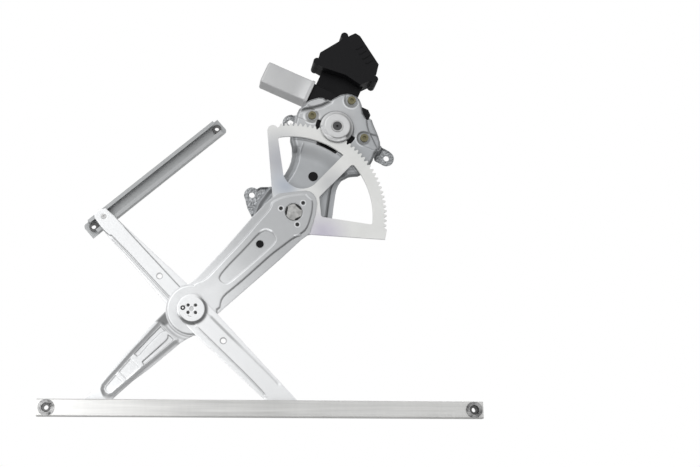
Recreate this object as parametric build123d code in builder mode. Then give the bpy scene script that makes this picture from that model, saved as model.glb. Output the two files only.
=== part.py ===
"""Cross-arm power window regulator, built piece by piece in millimetres.

The frame: +X runs along the lift rail, +Z is up and +Y points away from the
glass side.  The origin is the bolt hole of the lower left mounting tab, on the
face that lies on the door panel.  Depths are heights above that panel, counted
towards the viewer, so a height h lies at Y = -h.
"""
from build123d import *
from math import acos, atan2, cos, degrees, hypot, pi, radians, sin, tan
import os

os.makedirs("parts", exist_ok=True)

# Place of the sector pivot, seen from the origin bolt hole
pivot_x = 46.2
pivot_z = -24.4

# Linkage
upper_arm = 160.2          # sector pivot to the crossing pivot
upper_arm_angle = 44.9     # below level, towards the left
lower_arm = 150.0          # crossing pivot to either glass roller
lower_arm_angle = 46.6
short_arm = 145.0          # crossing pivot to the equaliser roller
short_arm_angle = 133.6

# Sheet and layer heights above the door panel
tab_sheet = 2.0
plate_sheet = 2.0
plateau_height = 12.0      # back face of the raised upper area of the base plate
panel_height = 9.0         # back face of the lower area round the pivot
skirt_depth = 6.0
plate_to_sector = 2.0
sector_sheet = 3.0
arm_sheet = 2.5
arm_gap = 0.8              # between the lift arm and either half of the crossing arm
rail_sheet = 1.5
rail_gap = 2.0             # between an arm and the lips of its rail
running_gap = 0.05         # radial, shafts in bores
free_gap = 0.3             # curved faces of different bodies

# Sector gear and pinion
gear_module = 1.8
sector_teeth = 117         # on a full circle
pinion_teeth = 11
pressure_angle = 25.0
addendum = 0.8             # in modules
tooth_relief = 0.35        # root clearance
backlash = 0.30
first_tooth = -2           # tooth numbers counted from level, anticlockwise
last_tooth = 32
pinion_bearing = 63.6      # direction of the pinion from the sector pivot
rim_width = 13.0
pivot_radius = 8.5
pivot_head = 9.6
arm_eye = 10.2
rivet_ring = 15.1
rivet_radius = 1.6

# Rails
rail_height = 18.4
rail_depth = 11.0
rail_lip = 2.6
lift_rail_length = 479.0
lift_rail_left = 59.5      # from the left roller to the rail's left end
glass_bolt_inset = 10.2
short_rail_length = 199.0
short_rail_angle = 40.9
short_rail_low = 23.5      # from the equaliser roller to the rail's lower end
short_bolt_inset = 8.5
roller_width = 6.0
roller_bore = 3.0
thread_radius = 2.5        # M6, cut to its minor diameter
nut_radius = 5.0

# Motor and gearbox
motor_angle = -24.0        # from the can towards the worm
worm_distance = 28.6       # worm axis to the worm wheel's axis
mouth_reach = 45.0         # can mouth to the wheel, along the worm axis
can_length = 57.5
can_width = 27.0
can_depth = 26.0
can_wall = 1.6
motor_height = 2.0         # height of the worm axis
wheel_teeth = 73
wheel_width = 8.0
worm_radius = 4.9
worm_thread = 0.62         # half depth of the thread
shaft_radius = 2.5
housing_wall = 2.2
boss_radius = 19.4         # raised cover of the pinion on the base plate
boss_height = 22.5
motor_screws_at = ((69.6, 137.6), (23.0, 117.9), (83.5, 91.7))
screw_radius = 2.5
screw_head = 4.7
screw_depth = 9.3          # thread in the gear housing
wheel_bore = 4.0
magnet_radius = 11.2
core_radius = 8.2
bearing_radius = 5.5
housing_back = -8.0
module_wall = 2.0
module_back = -14.0
module_split = 4.0
module_top = 14.0
socket_width = 22.0
socket_height = 29.0
socket_depth = 12.0

# Heights worked out from the layers
plateau_top = plateau_height + plate_sheet
panel_top = panel_height + plate_sheet
sector_back = plateau_top + plate_to_sector
sector_front = sector_back + sector_sheet
arm_front = sector_front + arm_sheet
cross_back = arm_front + arm_gap
cross_front = cross_back + arm_sheet
rear_front = sector_front - arm_gap
rear_back = rear_front - arm_sheet
hub_top = cross_front + 1.0
lift_lips = hub_top + rail_gap / 2
lift_web = lift_lips + rail_depth
short_lips = rear_back - rail_gap
short_rail_seat = short_lips - rail_depth

# Places in the plane of the mechanism, from the sector pivot
def polar(length, angle, start=(0.0, 0.0)):
    """Point at a length and an angle in degrees from a start point."""
    return (start[0] + length * cos(radians(angle)), start[1] + length * sin(radians(angle)))


crossing = polar(upper_arm, 180 + upper_arm_angle)
left_roller = polar(lower_arm, 180 + lower_arm_angle, crossing)
right_roller = polar(lower_arm, -lower_arm_angle, crossing)
short_roller = polar(short_arm, short_arm_angle, crossing)
sector_pitch = gear_module * sector_teeth / 2
pinion_pitch = gear_module * pinion_teeth / 2
sector_tip = sector_pitch + addendum * gear_module
sector_rim_inside = sector_tip - rim_width - 2 * addendum * gear_module
pinion_centre = polar(sector_pitch + pinion_pitch, pinion_bearing)
axis_foot = polar(worm_distance, motor_angle + 90, pinion_centre)
can_mouth = polar(mouth_reach, motor_angle + 180, axis_foot)
roller_radius = rail_height / 2 - rail_sheet - free_gap
rail_slot = rail_height / 2 - rail_sheet - rail_lip


def front(height, at=(0.0, 0.0), turn=0.0):
    """Plane facing the viewer at a height, at a point given from the sector pivot."""
    return Plane(
        origin=(pivot_x + at[0], -height, pivot_z + at[1]),
        x_dir=(cos(radians(turn)), 0, sin(radians(turn))),
        z_dir=(0, -1, 0),
    )


def along_motor(run, off=0.0):
    """Plane square to the motor axis, a run past the can mouth; its x axis faces the viewer."""
    x, y = polar(run, motor_angle, can_mouth)
    x, y = polar(off, motor_angle + 90, (x, y))
    return Plane(
        origin=(pivot_x + x, -motor_height, pivot_z + y),
        x_dir=(0, -1, 0),
        z_dir=(cos(radians(motor_angle)), 0, sin(radians(motor_angle))),
    )


def motor_face(height):
    """Plane facing the viewer with its origin at the can mouth and x along the worm axis."""
    return front(height, can_mouth, motor_angle)


def save(piece, name):
    """Label a finished piece and write it as its own file."""
    piece.part.label = name
    export_step(piece.part, f"parts/{name}.step")


def involute(angle):
    """Involute function of an angle in radians."""
    return tan(angle) - angle


def tooth_flank(teeth, size, steps):
    """Radii of a tooth of a given module from root to tip, each with the tooth's half angle."""
    pitch = size * teeth / 2
    base = pitch * cos(radians(pressure_angle))
    root = pitch - addendum * size - tooth_relief
    tip = pitch + addendum * size
    half = pi / (2 * teeth) - backlash / (4 * pitch) + involute(radians(pressure_angle))
    flank = []
    for step in range(steps):
        radius = root + (tip - root) * step / (steps - 1)
        roll = acos(min(1.0, base / radius))
        flank.append((radius, half - involute(roll)))
    return flank


def tooth_points(teeth, numbers, phase=0.0, size=gear_module, steps=4):
    """Outline of the numbered teeth in order, anticlockwise, as points."""
    points = []
    for number in numbers:
        middle = 2 * pi * number / teeth + radians(phase)
        flank = tooth_flank(teeth, size, steps)
        points += [(r * cos(middle - a), r * sin(middle - a)) for r, a in flank]
        points += [(r * cos(middle + a), r * sin(middle + a)) for r, a in reversed(flank)]
    return points


# Sector gear: a toothed rim on three spokes, with two windows between them
sector_phase = pinion_bearing - round(pinion_bearing * sector_teeth / 360) * 360 / sector_teeth
left_spoke_foot = (-23.7, 17.3)
right_spoke_foot = (16.6, -24.9)
with BuildPart() as sector_gear:
    with BuildSketch(front(sector_back)):
        with BuildLine():
            toothed = Polyline(*tooth_points(sector_teeth, range(first_tooth, last_tooth + 1), sector_phase))
            start = toothed @ 0
            end = toothed @ 1
            heel = (104.2, -29.7)
            shoulder = (-29.4, 97.5)
            Line(end, (-17.7, 100.7))
            ThreePointArc((-17.7, 100.7), (-23.4, 103.8), shoulder)
            Polyline(shoulder, left_spoke_foot, (-18, -16), right_spoke_foot, heel, (106.3, -18.3), start)
        make_face()
        with BuildSketch(mode=Mode.SUBTRACT) as left_window:
            rim_left = polar(sector_rim_inside, 101.0)
            rim_right = polar(sector_rim_inside, 50.0)
            with BuildLine():
                RadiusArc(rim_right, rim_left, -sector_rim_inside)
                Line(rim_left, (-11.3, 44.5))
                ThreePointArc((-11.3, 44.5), (8.6, 28.3), (27.0, 36.5))
                Line((27.0, 36.5), rim_right)
            make_face()
            fillet(left_window.vertices().group_by(Axis.Y)[-1], 3.0)
        with BuildSketch(mode=Mode.SUBTRACT) as right_window:
            rim_high = polar(sector_rim_inside, 40.8)
            rim_low = polar(sector_rim_inside, -8.0)
            with BuildLine():
                RadiusArc(rim_low, rim_high, -sector_rim_inside)
                Polyline(rim_high, (29.5, 19.0), (31.5, -4.5), rim_low)
            make_face()
            fillet(right_window.vertices(), 3.0)
        Circle(pivot_radius + running_gap, mode=Mode.SUBTRACT)
        with PolarLocations(rivet_ring, 3, start_angle=45):
            Circle(rivet_radius, mode=Mode.SUBTRACT)
    extrude(amount=sector_sheet)
save(sector_gear, "sector_gear")

# Lift arm: one stamping from the sector to the left glass roller
arm_end_cut = 6.4          # sheet left under a glass roller, hidden by the rail
pad_radius = 29.0
hub_radius = 10.0
pocket_depth = 0.8
long_pocket = (72, 19)     # length and width of the slots pressed into the arm
left_pocket = (34, 6)
right_pocket = (78, 15)
arm_plug_at = (-38.4, -37.7)

with BuildPart() as lift_arm:
    with BuildSketch(front(sector_front)) as arm_outline:
        with BuildLine():
            Polyline(
                (-24.2, 16.4), (-17.0, 22.0), (16.5, 27.0), (27.0, 15.0), (16.3, -26.0),
                (-85.6, -117.9), (-118.0, -145.0), (-119.0, -86.0), (-108.7, -77.1), (-47.3, -7.8),
                (-34.0, 8.0), close=True,
            )
        make_face()
        with Locations(crossing):
            Circle(pad_radius)
        with BuildLine():
            Polyline(
                (-141.5, -114.0), (-110.0, -112.0), (-118.0, -144.5),
                polar(13.0, -43.4, left_roller), polar(12.0, -133.4, left_roller),
                polar(13.0, 136.6, left_roller), close=True,
            )
        make_face()
        Circle(arm_eye, mode=Mode.SUBTRACT)
        with Locations(crossing):
            Circle(hub_radius + running_gap, mode=Mode.SUBTRACT)
        with Locations(left_roller):
            Circle(roller_bore, mode=Mode.SUBTRACT)
        with PolarLocations(rivet_ring, 3, start_angle=45):
            Circle(rivet_radius, mode=Mode.SUBTRACT)
        with Locations(arm_plug_at):
            Circle(3.4, mode=Mode.SUBTRACT)
        with Locations((left_roller[0], left_roller[1] - arm_end_cut - 20)):
            Rectangle(90, 40, mode=Mode.SUBTRACT)
    extrude(amount=arm_sheet)
    with BuildSketch(front(arm_front)):
        with Locations(Location(polar(75.0, 180 + upper_arm_angle + 1.0), 45)):
            SlotOverall(*long_pocket)
        with Locations(Location(polar(48.0, 180 + lower_arm_angle, crossing), lower_arm_angle)):
            SlotOverall(*left_pocket)
        with Locations(Location(polar(88.0, 180 + lower_arm_angle, crossing), lower_arm_angle)):
            SlotOverall(*right_pocket)
    extrude(amount=-pocket_depth, mode=Mode.SUBTRACT)
    fillet(lift_arm.edges().filter_by(Axis.Y).filter_by(
        lambda edge: edge.center().Z > pivot_z + 10), 3.0)
save(lift_arm, "lift_arm")

with BuildPart() as sector_rivets:
    with BuildSketch(front(sector_back)):
        with PolarLocations(rivet_ring, 3, start_angle=45):
            Circle(rivet_radius)
    extrude(amount=sector_sheet + arm_sheet)
    with BuildSketch(front(arm_front)):
        with PolarLocations(rivet_ring, 3, start_angle=45):
            Circle(rivet_radius + 0.7)
    extrude(amount=0.4)
save(sector_rivets, "sector_rivets")

with BuildPart() as arm_plug:
    with BuildSketch(front(sector_front, arm_plug_at)):
        Circle(3.4)
    extrude(amount=arm_sheet - pocket_depth)
    with BuildSketch(front(arm_front - pocket_depth, arm_plug_at)):
        Circle(4.2)
    extrude(amount=0.7)
save(arm_plug, "arm_plug")

# Pivot pin: riveted into the base plate, its notched head holds the sector on
with BuildPart() as pivot_pin:
    with BuildSketch(front(panel_height)):
        Circle(pivot_radius - 2.5)
    extrude(amount=plate_sheet)
    with BuildSketch(front(panel_top)):
        Circle(pivot_radius)
    extrude(amount=sector_front - panel_top)
    with BuildSketch(front(sector_front + 0.1)):
        Circle(pivot_head)
        with PolarLocations(pivot_head, 3, start_angle=50):
            Rectangle(2.0, 6.0, mode=Mode.SUBTRACT)
    extrude(amount=1.2)
    with BuildSketch(front(sector_front)):
        Circle(pivot_radius - 1.2)
    extrude(amount=0.1)
    with BuildSketch(front(sector_front + 1.3)):
        Circle(2.4)
    extrude(amount=-8, mode=Mode.SUBTRACT)
    with BuildSketch(front(panel_height - 1.5)):
        Circle(pivot_radius)
    extrude(amount=1.5)
save(pivot_pin, "pivot_pin")

with BuildPart() as pivot_spacer:
    with BuildSketch(front(panel_top + 0.1)):
        Circle(pivot_radius + 5)
        Circle(pivot_radius + running_gap, mode=Mode.SUBTRACT)
    extrude(amount=sector_back - panel_top - 0.2)
save(pivot_spacer, "pivot_spacer")

# Crossing arm: the front half carries the right glass roller, the rear half the short rail
hub_rivet_square = 8.4
front_pocket = (92, 14)
rear_pocket = (short_arm - 62, 13)
with BuildPart() as cross_arm_front:
    with BuildSketch(front(cross_back, crossing)):
        Circle(16.5)
    extrude(amount=arm_sheet)
    with BuildSketch(front(cross_back, crossing, -lower_arm_angle)):
        with BuildLine():
            Polyline(
                (0, 16.5), (23, 17.0), (lower_arm + 10, 16.0), (lower_arm + 12, 4),
                (lower_arm + 8, -7.4), (lower_arm - 22, -9.0), (21, -16.5), (0, -16.5), close=True,
            )
        make_face()
    extrude(amount=arm_sheet)
    with BuildSketch(front(cross_back, (right_roller[0], right_roller[1] - arm_end_cut - 20))):
        Rectangle(90, 40)
    extrude(amount=arm_sheet, mode=Mode.SUBTRACT)
    with BuildSketch(front(cross_front, crossing)):
        Circle(13.5)
    extrude(amount=hub_top - cross_front)
    with BuildSketch(front(cross_front, crossing, -lower_arm_angle)):
        with Locations((lower_arm / 2 + 14, 0)):
            SlotOverall(*front_pocket)
    extrude(amount=-pocket_depth, mode=Mode.SUBTRACT)
    with BuildSketch(front(cross_back, crossing)):
        with Locations((-10.0, 0.8)):
            Circle(1.9)
        with GridLocations(hub_rivet_square, hub_rivet_square, 2, 2):
            Circle(rivet_radius)
    extrude(amount=hub_top - cross_back, mode=Mode.SUBTRACT)
    with BuildSketch(front(cross_back, right_roller)):
        Circle(roller_bore)
    extrude(amount=arm_sheet, mode=Mode.SUBTRACT)
    with BuildSketch(front(cross_back, crossing, -lower_arm_angle)):
        with Locations((49.0, 1.5)):
            Circle(2.6)
    extrude(amount=arm_sheet, mode=Mode.SUBTRACT)
save(cross_arm_front, "cross_arm_front")

with BuildPart() as cross_arm_rear:
    with BuildSketch(front(rear_back, crossing, short_arm_angle)) as rear_outline:
        with BuildLine():
            Polyline(
                (0, 16.0), (short_arm - 20, 12.6), (short_arm - 16, 9.4), (short_arm + 8.5, 8.4),
                (short_arm + 8.5, -8.4), (short_arm - 18, -8.6), (26, -16.4), (0, -16.0), close=True,
            )
        make_face()
        Circle(16.0)
        fillet(rear_outline.vertices().group_by(Axis.X)[-1], 3.0)
        with Locations((short_arm, 0)):
            Circle(roller_bore, mode=Mode.SUBTRACT)
        with Locations((49.5, 0)):
            Circle(2.6, mode=Mode.SUBTRACT)
    extrude(amount=arm_sheet)
    with BuildSketch(front(rear_back, crossing)):
        with GridLocations(hub_rivet_square, hub_rivet_square, 2, 2):
            Circle(rivet_radius)
    extrude(amount=arm_sheet, mode=Mode.SUBTRACT)
    with BuildSketch(front(rear_back, crossing, short_arm_angle)):
        with Locations((short_arm / 2 - 2, 0)):
            SlotOverall(*rear_pocket)
    extrude(amount=pocket_depth, mode=Mode.SUBTRACT)
save(cross_arm_rear, "cross_arm_rear")


# Hub: fills the lift arm's eye between the two halves, riveted through both
with BuildPart() as centre_hub:
    with BuildSketch(front(rear_front, crossing)):
        Circle(hub_radius)
        with GridLocations(hub_rivet_square, hub_rivet_square, 2, 2):
            Circle(rivet_radius, mode=Mode.SUBTRACT)
    extrude(amount=cross_back - rear_front)
save(centre_hub, "centre_hub")

with BuildPart() as hub_rivets:
    with BuildSketch(front(rear_back, crossing)):
        with GridLocations(hub_rivet_square, hub_rivet_square, 2, 2):
            Circle(rivet_radius)
    extrude(amount=hub_top - rear_back)
    with BuildSketch(front(rear_back - 0.4, crossing)):
        with GridLocations(hub_rivet_square, hub_rivet_square, 2, 2):
            Circle(rivet_radius + 0.6)
    extrude(amount=0.4)
save(hub_rivets, "hub_rivets")

washer_sheet = arm_gap - 0.2
with BuildPart() as arm_washers:
    for height in (rear_front + 0.1, arm_front + 0.1):
        with BuildSketch(front(height, crossing)):
            Circle(hub_radius + 5)
            Circle(hub_radius + free_gap, mode=Mode.SUBTRACT)
        extrude(amount=washer_sheet)
save(arm_washers, "arm_washers")

# Rails: folded channels with inturned lips, the rollers run inside
roller_side = (rail_depth - 2 * rail_sheet - roller_width) / 2


def rail_profile(plane):
    """Section of a rail on a plane whose y axis runs from the lips to the web."""
    with BuildSketch(plane) as profile:
        RectangleRounded(rail_height, rail_depth, rail_sheet, align=(Align.CENTER, Align.MIN))
        with Locations((0, rail_sheet)):
            Rectangle(rail_height - 2 * rail_sheet, rail_depth - 2 * rail_sheet,
                      align=(Align.CENTER, Align.MIN), mode=Mode.SUBTRACT)
        Rectangle(2 * rail_slot, rail_sheet, align=(Align.CENTER, Align.MIN), mode=Mode.SUBTRACT)
    return profile.sketch


lift_rail_start = (left_roller[0] - lift_rail_left, left_roller[1])
lift_rail_middle = (lift_rail_start[0] + lift_rail_length / 2, lift_rail_start[1])
glass_bolt_span = lift_rail_length - 2 * glass_bolt_inset
lift_section = Plane(
    origin=(pivot_x + lift_rail_start[0], -lift_lips, pivot_z + lift_rail_start[1]),
    x_dir=(0, 0, 1), z_dir=(1, 0, 0),
)
with BuildPart() as lift_rail:
    extrude(rail_profile(lift_section), amount=lift_rail_length)
    with BuildSketch(front(lift_lips, lift_rail_middle)):
        with GridLocations(glass_bolt_span, 1, 2, 1):
            Circle(nut_radius + 1.2)
    extrude(amount=rail_depth, mode=Mode.SUBTRACT)
save(lift_rail, "lift_rail")

# Glass bolts: a flanged cup set in each end of the lift rail, with a threaded nut in it
cup_radius = 8.8
with BuildPart() as nut_cups:
    with BuildSketch(front(lift_web, lift_rail_middle)):
        with GridLocations(glass_bolt_span, 1, 2, 1):
            Circle(cup_radius)
    extrude(amount=1.2)
    with BuildSketch(front(lift_lips + rail_sheet, lift_rail_middle)):
        with GridLocations(glass_bolt_span, 1, 2, 1):
            Circle(nut_radius + 1.2)
    extrude(amount=rail_depth - rail_sheet)
    with BuildSketch(front(lift_web + 1.2, lift_rail_middle)):
        with GridLocations(glass_bolt_span, 1, 2, 1):
            Circle(nut_radius)
    extrude(amount=-7.0, mode=Mode.SUBTRACT)
    with BuildSketch(front(lift_lips + rail_sheet, lift_rail_middle)):
        with GridLocations(glass_bolt_span, 1, 2, 1):
            Circle(thread_radius + 0.8)
    extrude(amount=rail_depth, mode=Mode.SUBTRACT)
save(nut_cups, "nut_cups")

with BuildPart() as glass_nuts:
    with BuildSketch(front(lift_web - 5.8, lift_rail_middle)):
        with GridLocations(glass_bolt_span, 1, 2, 1):
            RegularPolygon(nut_radius, 6)
            Circle(thread_radius, mode=Mode.SUBTRACT)
    extrude(amount=5.4)
save(glass_nuts, "glass_nuts")

short_rail_foot = polar(-short_rail_low, short_rail_angle, short_roller)
short_rail_middle = polar(short_rail_length / 2 - short_rail_low, short_rail_angle, short_roller)
short_bolt_span = short_rail_length - 2 * short_bolt_inset
wall_cut = short_bolt_inset - 1
short_bolt_hole = thread_radius + 1.6
with BuildPart() as short_rail:
    with BuildSketch(front(short_rail_seat, short_rail_middle, short_rail_angle)):
        Rectangle(short_rail_length, rail_height)
    extrude(amount=rail_depth)
    with BuildSketch(front(short_rail_seat + rail_sheet, short_rail_middle, short_rail_angle)):
        Rectangle(short_rail_length, rail_height - 2 * rail_sheet)
    extrude(amount=rail_depth - 2 * rail_sheet, mode=Mode.SUBTRACT)
    with BuildSketch(front(short_lips, short_rail_middle, short_rail_angle)):
        Rectangle(short_rail_length, 2 * rail_slot)
    extrude(amount=-rail_sheet, mode=Mode.SUBTRACT)
    with BuildSketch(front(short_rail_seat + rail_sheet, short_rail_middle, short_rail_angle)):
        with Locations((-short_rail_length / 2, 0)):
            Rectangle(wall_cut, rail_height, align=(Align.MIN, Align.CENTER))
        with Locations((short_rail_length / 2, 0)):
            Rectangle(wall_cut, rail_height, align=(Align.MAX, Align.CENTER))
    extrude(amount=rail_depth, mode=Mode.SUBTRACT)
    with BuildSketch(front(short_rail_seat, short_rail_middle, short_rail_angle)):
        with GridLocations(short_bolt_span, 1, 2, 1):
            Circle(short_bolt_hole)
    extrude(amount=rail_sheet, mode=Mode.SUBTRACT)
    tips = short_rail.edges().filter_by(Axis.Y).filter_by(
        lambda edge: abs(edge.length - rail_sheet) < 0.01)
    tips = tips.filter_by(lambda edge: edge.geom_type == GeomType.LINE)
    fillet(tips.group_by(Axis.X)[0] + tips.group_by(Axis.X)[-1], 4.0)
save(short_rail, "short_rail")

with BuildPart() as short_rail_nuts:
    with BuildSketch(front(short_rail_seat + rail_sheet, short_rail_middle, short_rail_angle)):
        with GridLocations(short_bolt_span, 1, 2, 1):
            Circle(nut_radius)
            Circle(thread_radius, mode=Mode.SUBTRACT)
    extrude(amount=4.0)
save(short_rail_nuts, "short_rail_nuts")

# Rollers on their riveted studs: journal, shoulder and head worked out from the rail's section
shoulder_radius = 3.6
journal_radius = roller_bore - running_gap
head_radius = 4.4
glass_roller_low = lift_lips + rail_sheet + roller_side
short_roller_top = short_lips - rail_sheet - roller_side
stud_steps = {
    "lift_arm_stud": (left_roller, sector_front, arm_front, glass_roller_low, 1),
    "cross_arm_stud": (right_roller, cross_back, cross_front, glass_roller_low, 1),
    "short_arm_stud": (short_roller, rear_front, rear_back, short_roller_top, -1),
}
for stud_name, (place, outer, inner, seat, way) in stud_steps.items():
    with BuildPart() as stud:
        with BuildSketch(front(outer, place)):
            Circle(roller_bore)
        extrude(amount=inner - outer)
        with BuildSketch(front(inner, place)):
            Circle(shoulder_radius)
        extrude(amount=seat - inner - way * 0.1)
        with BuildSketch(front(seat - way * 0.1, place)):
            Circle(journal_radius)
        extrude(amount=way * (roller_width + 0.2))
        with BuildSketch(front(seat + way * (roller_width + 0.1), place)):
            Circle(head_radius)
        extrude(amount=way * 0.6)
        with BuildSketch(front(outer, place)):
            Circle(1.2)
        extrude(amount=way * 1.2, mode=Mode.SUBTRACT)
    save(stud, stud_name)

roller_places = {
    "left_glass_roller": (left_roller, glass_roller_low),
    "right_glass_roller": (right_roller, glass_roller_low),
    "short_rail_roller": (short_roller, short_roller_top - roller_width),
}
for roller_name, (place, low) in roller_places.items():
    with BuildPart() as roller:
        with BuildSketch(front(low, place)):
            Circle(roller_radius)
            Circle(roller_bore, mode=Mode.SUBTRACT)
        extrude(amount=roller_width)
        with BuildSketch(front(low + roller_width / 2 - 0.8, place)):
            Circle(roller_radius)
            Circle(roller_radius - 0.8, mode=Mode.SUBTRACT)
        extrude(amount=1.6, mode=Mode.SUBTRACT)
    save(roller, roller_name)

# Base plate: raised upper area, lower area round the pivot, a step between them, skirts and tabs
step_radius = 85.0
base_plug_at = (23.7, 45.2)
pinion_window = (98.0, 118.0)
pinion_window_reach = 24.5
rim_slit = (87.6, 97.0)    # slot in the base plate that shows inside the sector's rim
rim_slit_reach = 13.5
tabs = ((-pivot_x, -pivot_z), (-1.2, 113.2), (111.1, 71.6))
tab_radius = 9.0
tab_hole = 3.3
legs = (((-43, 22), (-33, 16)), ((-1, 111), (14, 108)), ((109, 73), (90, 82)))
outline = (
    (62.5, 148.3), (74.3, 146.1), (81, 139.5), (84.4, 117.3), (93.4, 118.2), (95.4, 111),
    (101.1, 96.8), (103.8, 87), (102.3, 78.5), (97, 76.5), (92, 62), (80.7, 46.7),
    (59.4, 45.1), (51.7, 34.2), (48.9, 19.9), (44.8, -9.3), (38, -19), (12, -24), (-22, -22),
    (-40, -4), (-42, 28), (-22, 38), (-9.7, 46.1), (-1.9, 60.6), (0.7, 75.1), (-3.7, 90.7),
    (2.2, 105.4), (4.4, 114.4), (6.7, 125.3), (14.4, 131.8), (18.8, 136.9), (35.2, 141.9),
    (40.8, 136.6),
)


def leg_angle(leg):
    """Direction of a tab's leg, from the tab towards the plate."""
    return degrees(atan2(leg[1][1] - leg[0][1], leg[1][0] - leg[0][0]))


with BuildPart() as base_plate:
    with BuildSketch(front(plateau_height)):
        with BuildLine():
            Polyline(*outline, close=True)
        make_face()
        Circle(step_radius, mode=Mode.SUBTRACT)
    extrude(amount=plate_sheet)
    with BuildSketch(front(panel_height)):
        with BuildLine():
            Polyline(*outline, close=True)
        make_face()
        Circle(step_radius + plate_sheet, mode=Mode.INTERSECT)
    extrude(amount=plate_sheet)
    with BuildSketch(front(panel_height)):
        with BuildLine():
            Polyline(*outline, close=True)
        make_face()
        Circle(step_radius + plate_sheet, mode=Mode.INTERSECT)
        Circle(step_radius, mode=Mode.SUBTRACT)
    extrude(amount=plateau_top - panel_height)
    with BuildSketch(front(panel_height - skirt_depth)):
        with BuildLine():
            edge_path = Polyline(*outline, close=True)
        make_face()
        trace(edge_path, line_width=2 * plate_sheet, mode=Mode.INTERSECT)
        Circle(step_radius - 6, mode=Mode.INTERSECT)
    extrude(amount=skirt_depth)
    for tab, leg in zip(tabs, legs):
        run = hypot(leg[1][0] - leg[0][0], leg[1][1] - leg[0][1])
        turn = leg_angle(leg)
        riser_top = panel_top if tab is tabs[0] else plateau_top
        with BuildSketch(front(0, tab)):
            Circle(tab_radius)
        extrude(amount=tab_sheet)
        with BuildSketch(front(0, leg[0], turn)):
            Rectangle(run, 2 * tab_radius, align=(Align.MIN, Align.CENTER))
        extrude(amount=tab_sheet)
        with BuildSketch(front(0, leg[1], turn)):
            Rectangle(plate_sheet, 2 * tab_radius, align=(Align.MAX, Align.CENTER))
        extrude(amount=riser_top)
    with BuildSketch(front(plateau_height, pinion_centre)):
        Circle(boss_radius)
    extrude(amount=boss_height - plateau_height)
    with BuildSketch(front(plateau_height, pinion_centre)):
        Circle(boss_radius - plate_sheet)
    extrude(amount=boss_height - plateau_height - plate_sheet, mode=Mode.SUBTRACT)
    with BuildSketch(front(plateau_top)):
        Circle(sector_tip + 1.5)
        Circle(step_radius, mode=Mode.SUBTRACT)
    extrude(amount=boss_height - plate_sheet - plateau_top, mode=Mode.SUBTRACT)
    with BuildSketch(front(plateau_height, pinion_centre)):
        Circle(6.8)
    extrude(amount=boss_height, mode=Mode.SUBTRACT)
    with BuildSketch(front(plateau_height)) as windows:
        Circle(pinion_window[1])
        Circle(pinion_window[0], mode=Mode.SUBTRACT)
        with Locations(pinion_centre):
            Circle(pinion_window_reach, mode=Mode.INTERSECT)
            Circle(9.5, mode=Mode.SUBTRACT)
    extrude(amount=plate_sheet, mode=Mode.SUBTRACT)
    with BuildSketch(front(plateau_height)):
        Circle(rim_slit[1])
        Circle(rim_slit[0], mode=Mode.SUBTRACT)
        with Locations(polar(sum(rim_slit) / 2, pinion_bearing)):
            Circle(rim_slit_reach, mode=Mode.INTERSECT)
    extrude(amount=plate_sheet, mode=Mode.SUBTRACT)
    with BuildSketch(front(panel_height)):
        for tab in tabs:
            with Locations(tab):
                Circle(tab_hole)
    extrude(amount=-panel_height, mode=Mode.SUBTRACT)
    with BuildSketch(front(panel_height)):
        for place in motor_screws_at:
            with Locations(place):
                Circle(screw_radius + 0.4)
        Circle(pivot_radius - 2.5)
        with Locations(base_plug_at):
            Circle(4.4)
    extrude(amount=plateau_top - panel_height, mode=Mode.SUBTRACT)
save(base_plate, "base_plate")

with BuildPart() as base_plug:
    with BuildSketch(front(panel_height, base_plug_at)):
        Circle(4.4)
    extrude(amount=plate_sheet)
    with BuildSketch(front(panel_top, base_plug_at)):
        Circle(5.4)
    extrude(amount=0.9)
save(base_plug, "base_plug")

with BuildPart() as motor_screws:
    for place in motor_screws_at:
        with BuildSketch(front(plateau_top, place)):
            Circle(screw_head)
        extrude(amount=2.8)
        with BuildSketch(front(plateau_top, place)):
            Circle(screw_radius)
        extrude(amount=-plate_sheet - screw_depth + 0.5)
        with BuildSketch(front(plateau_top + 2.8, place)):
            RegularPolygon(2.4, 6)
        extrude(amount=-1.8, mode=Mode.SUBTRACT)
save(motor_screws, "motor_screws")

with BuildPart() as pinion_bush:
    with BuildSketch(front(boss_height - plate_sheet, pinion_centre)):
        Circle(6.8)
        Circle(5.5, mode=Mode.SUBTRACT)
    extrude(amount=plate_sheet + 0.4)
save(pinion_bush, "pinion_bush")

# Gearbox: pinion shaft, worm wheel and the armature with its worm
pinion_low = plateau_top + 0.8
pinion_high = boss_height - plate_sheet - 0.3
cover_sheet = 2.0
shaft_low = housing_back + 0.6
pinion_phase = pinion_bearing + 180 + 180 / pinion_teeth
wheel_module = 2 * (worm_distance - worm_radius) / wheel_teeth
wheel_phase = motor_angle + 90 + 180 / wheel_teeth
with BuildPart() as pinion_shaft:
    with BuildSketch(front(pinion_low, pinion_centre)):
        with BuildLine():
            Polyline(*tooth_points(pinion_teeth, range(pinion_teeth), pinion_phase), close=True)
        make_face()
    extrude(amount=pinion_high - pinion_low)
    with BuildSketch(front(pinion_high, pinion_centre)):
        Circle(5.5 - running_gap)
    extrude(amount=boss_height - pinion_high)
    with BuildSketch(front(shaft_low, pinion_centre)):
        Circle(wheel_bore)
    extrude(amount=pinion_low - shaft_low)
    with BuildSketch(front(boss_height, pinion_centre)):
        Circle(1.4)
    extrude(amount=-3, mode=Mode.SUBTRACT)
    with BuildSketch(front(motor_height - wheel_width / 2 - 1.2, pinion_centre)):
        Circle(wheel_bore)
        Circle(wheel_bore - 0.5, mode=Mode.SUBTRACT)
    extrude(amount=0.9, mode=Mode.SUBTRACT)
save(pinion_shaft, "pinion_shaft")

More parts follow.
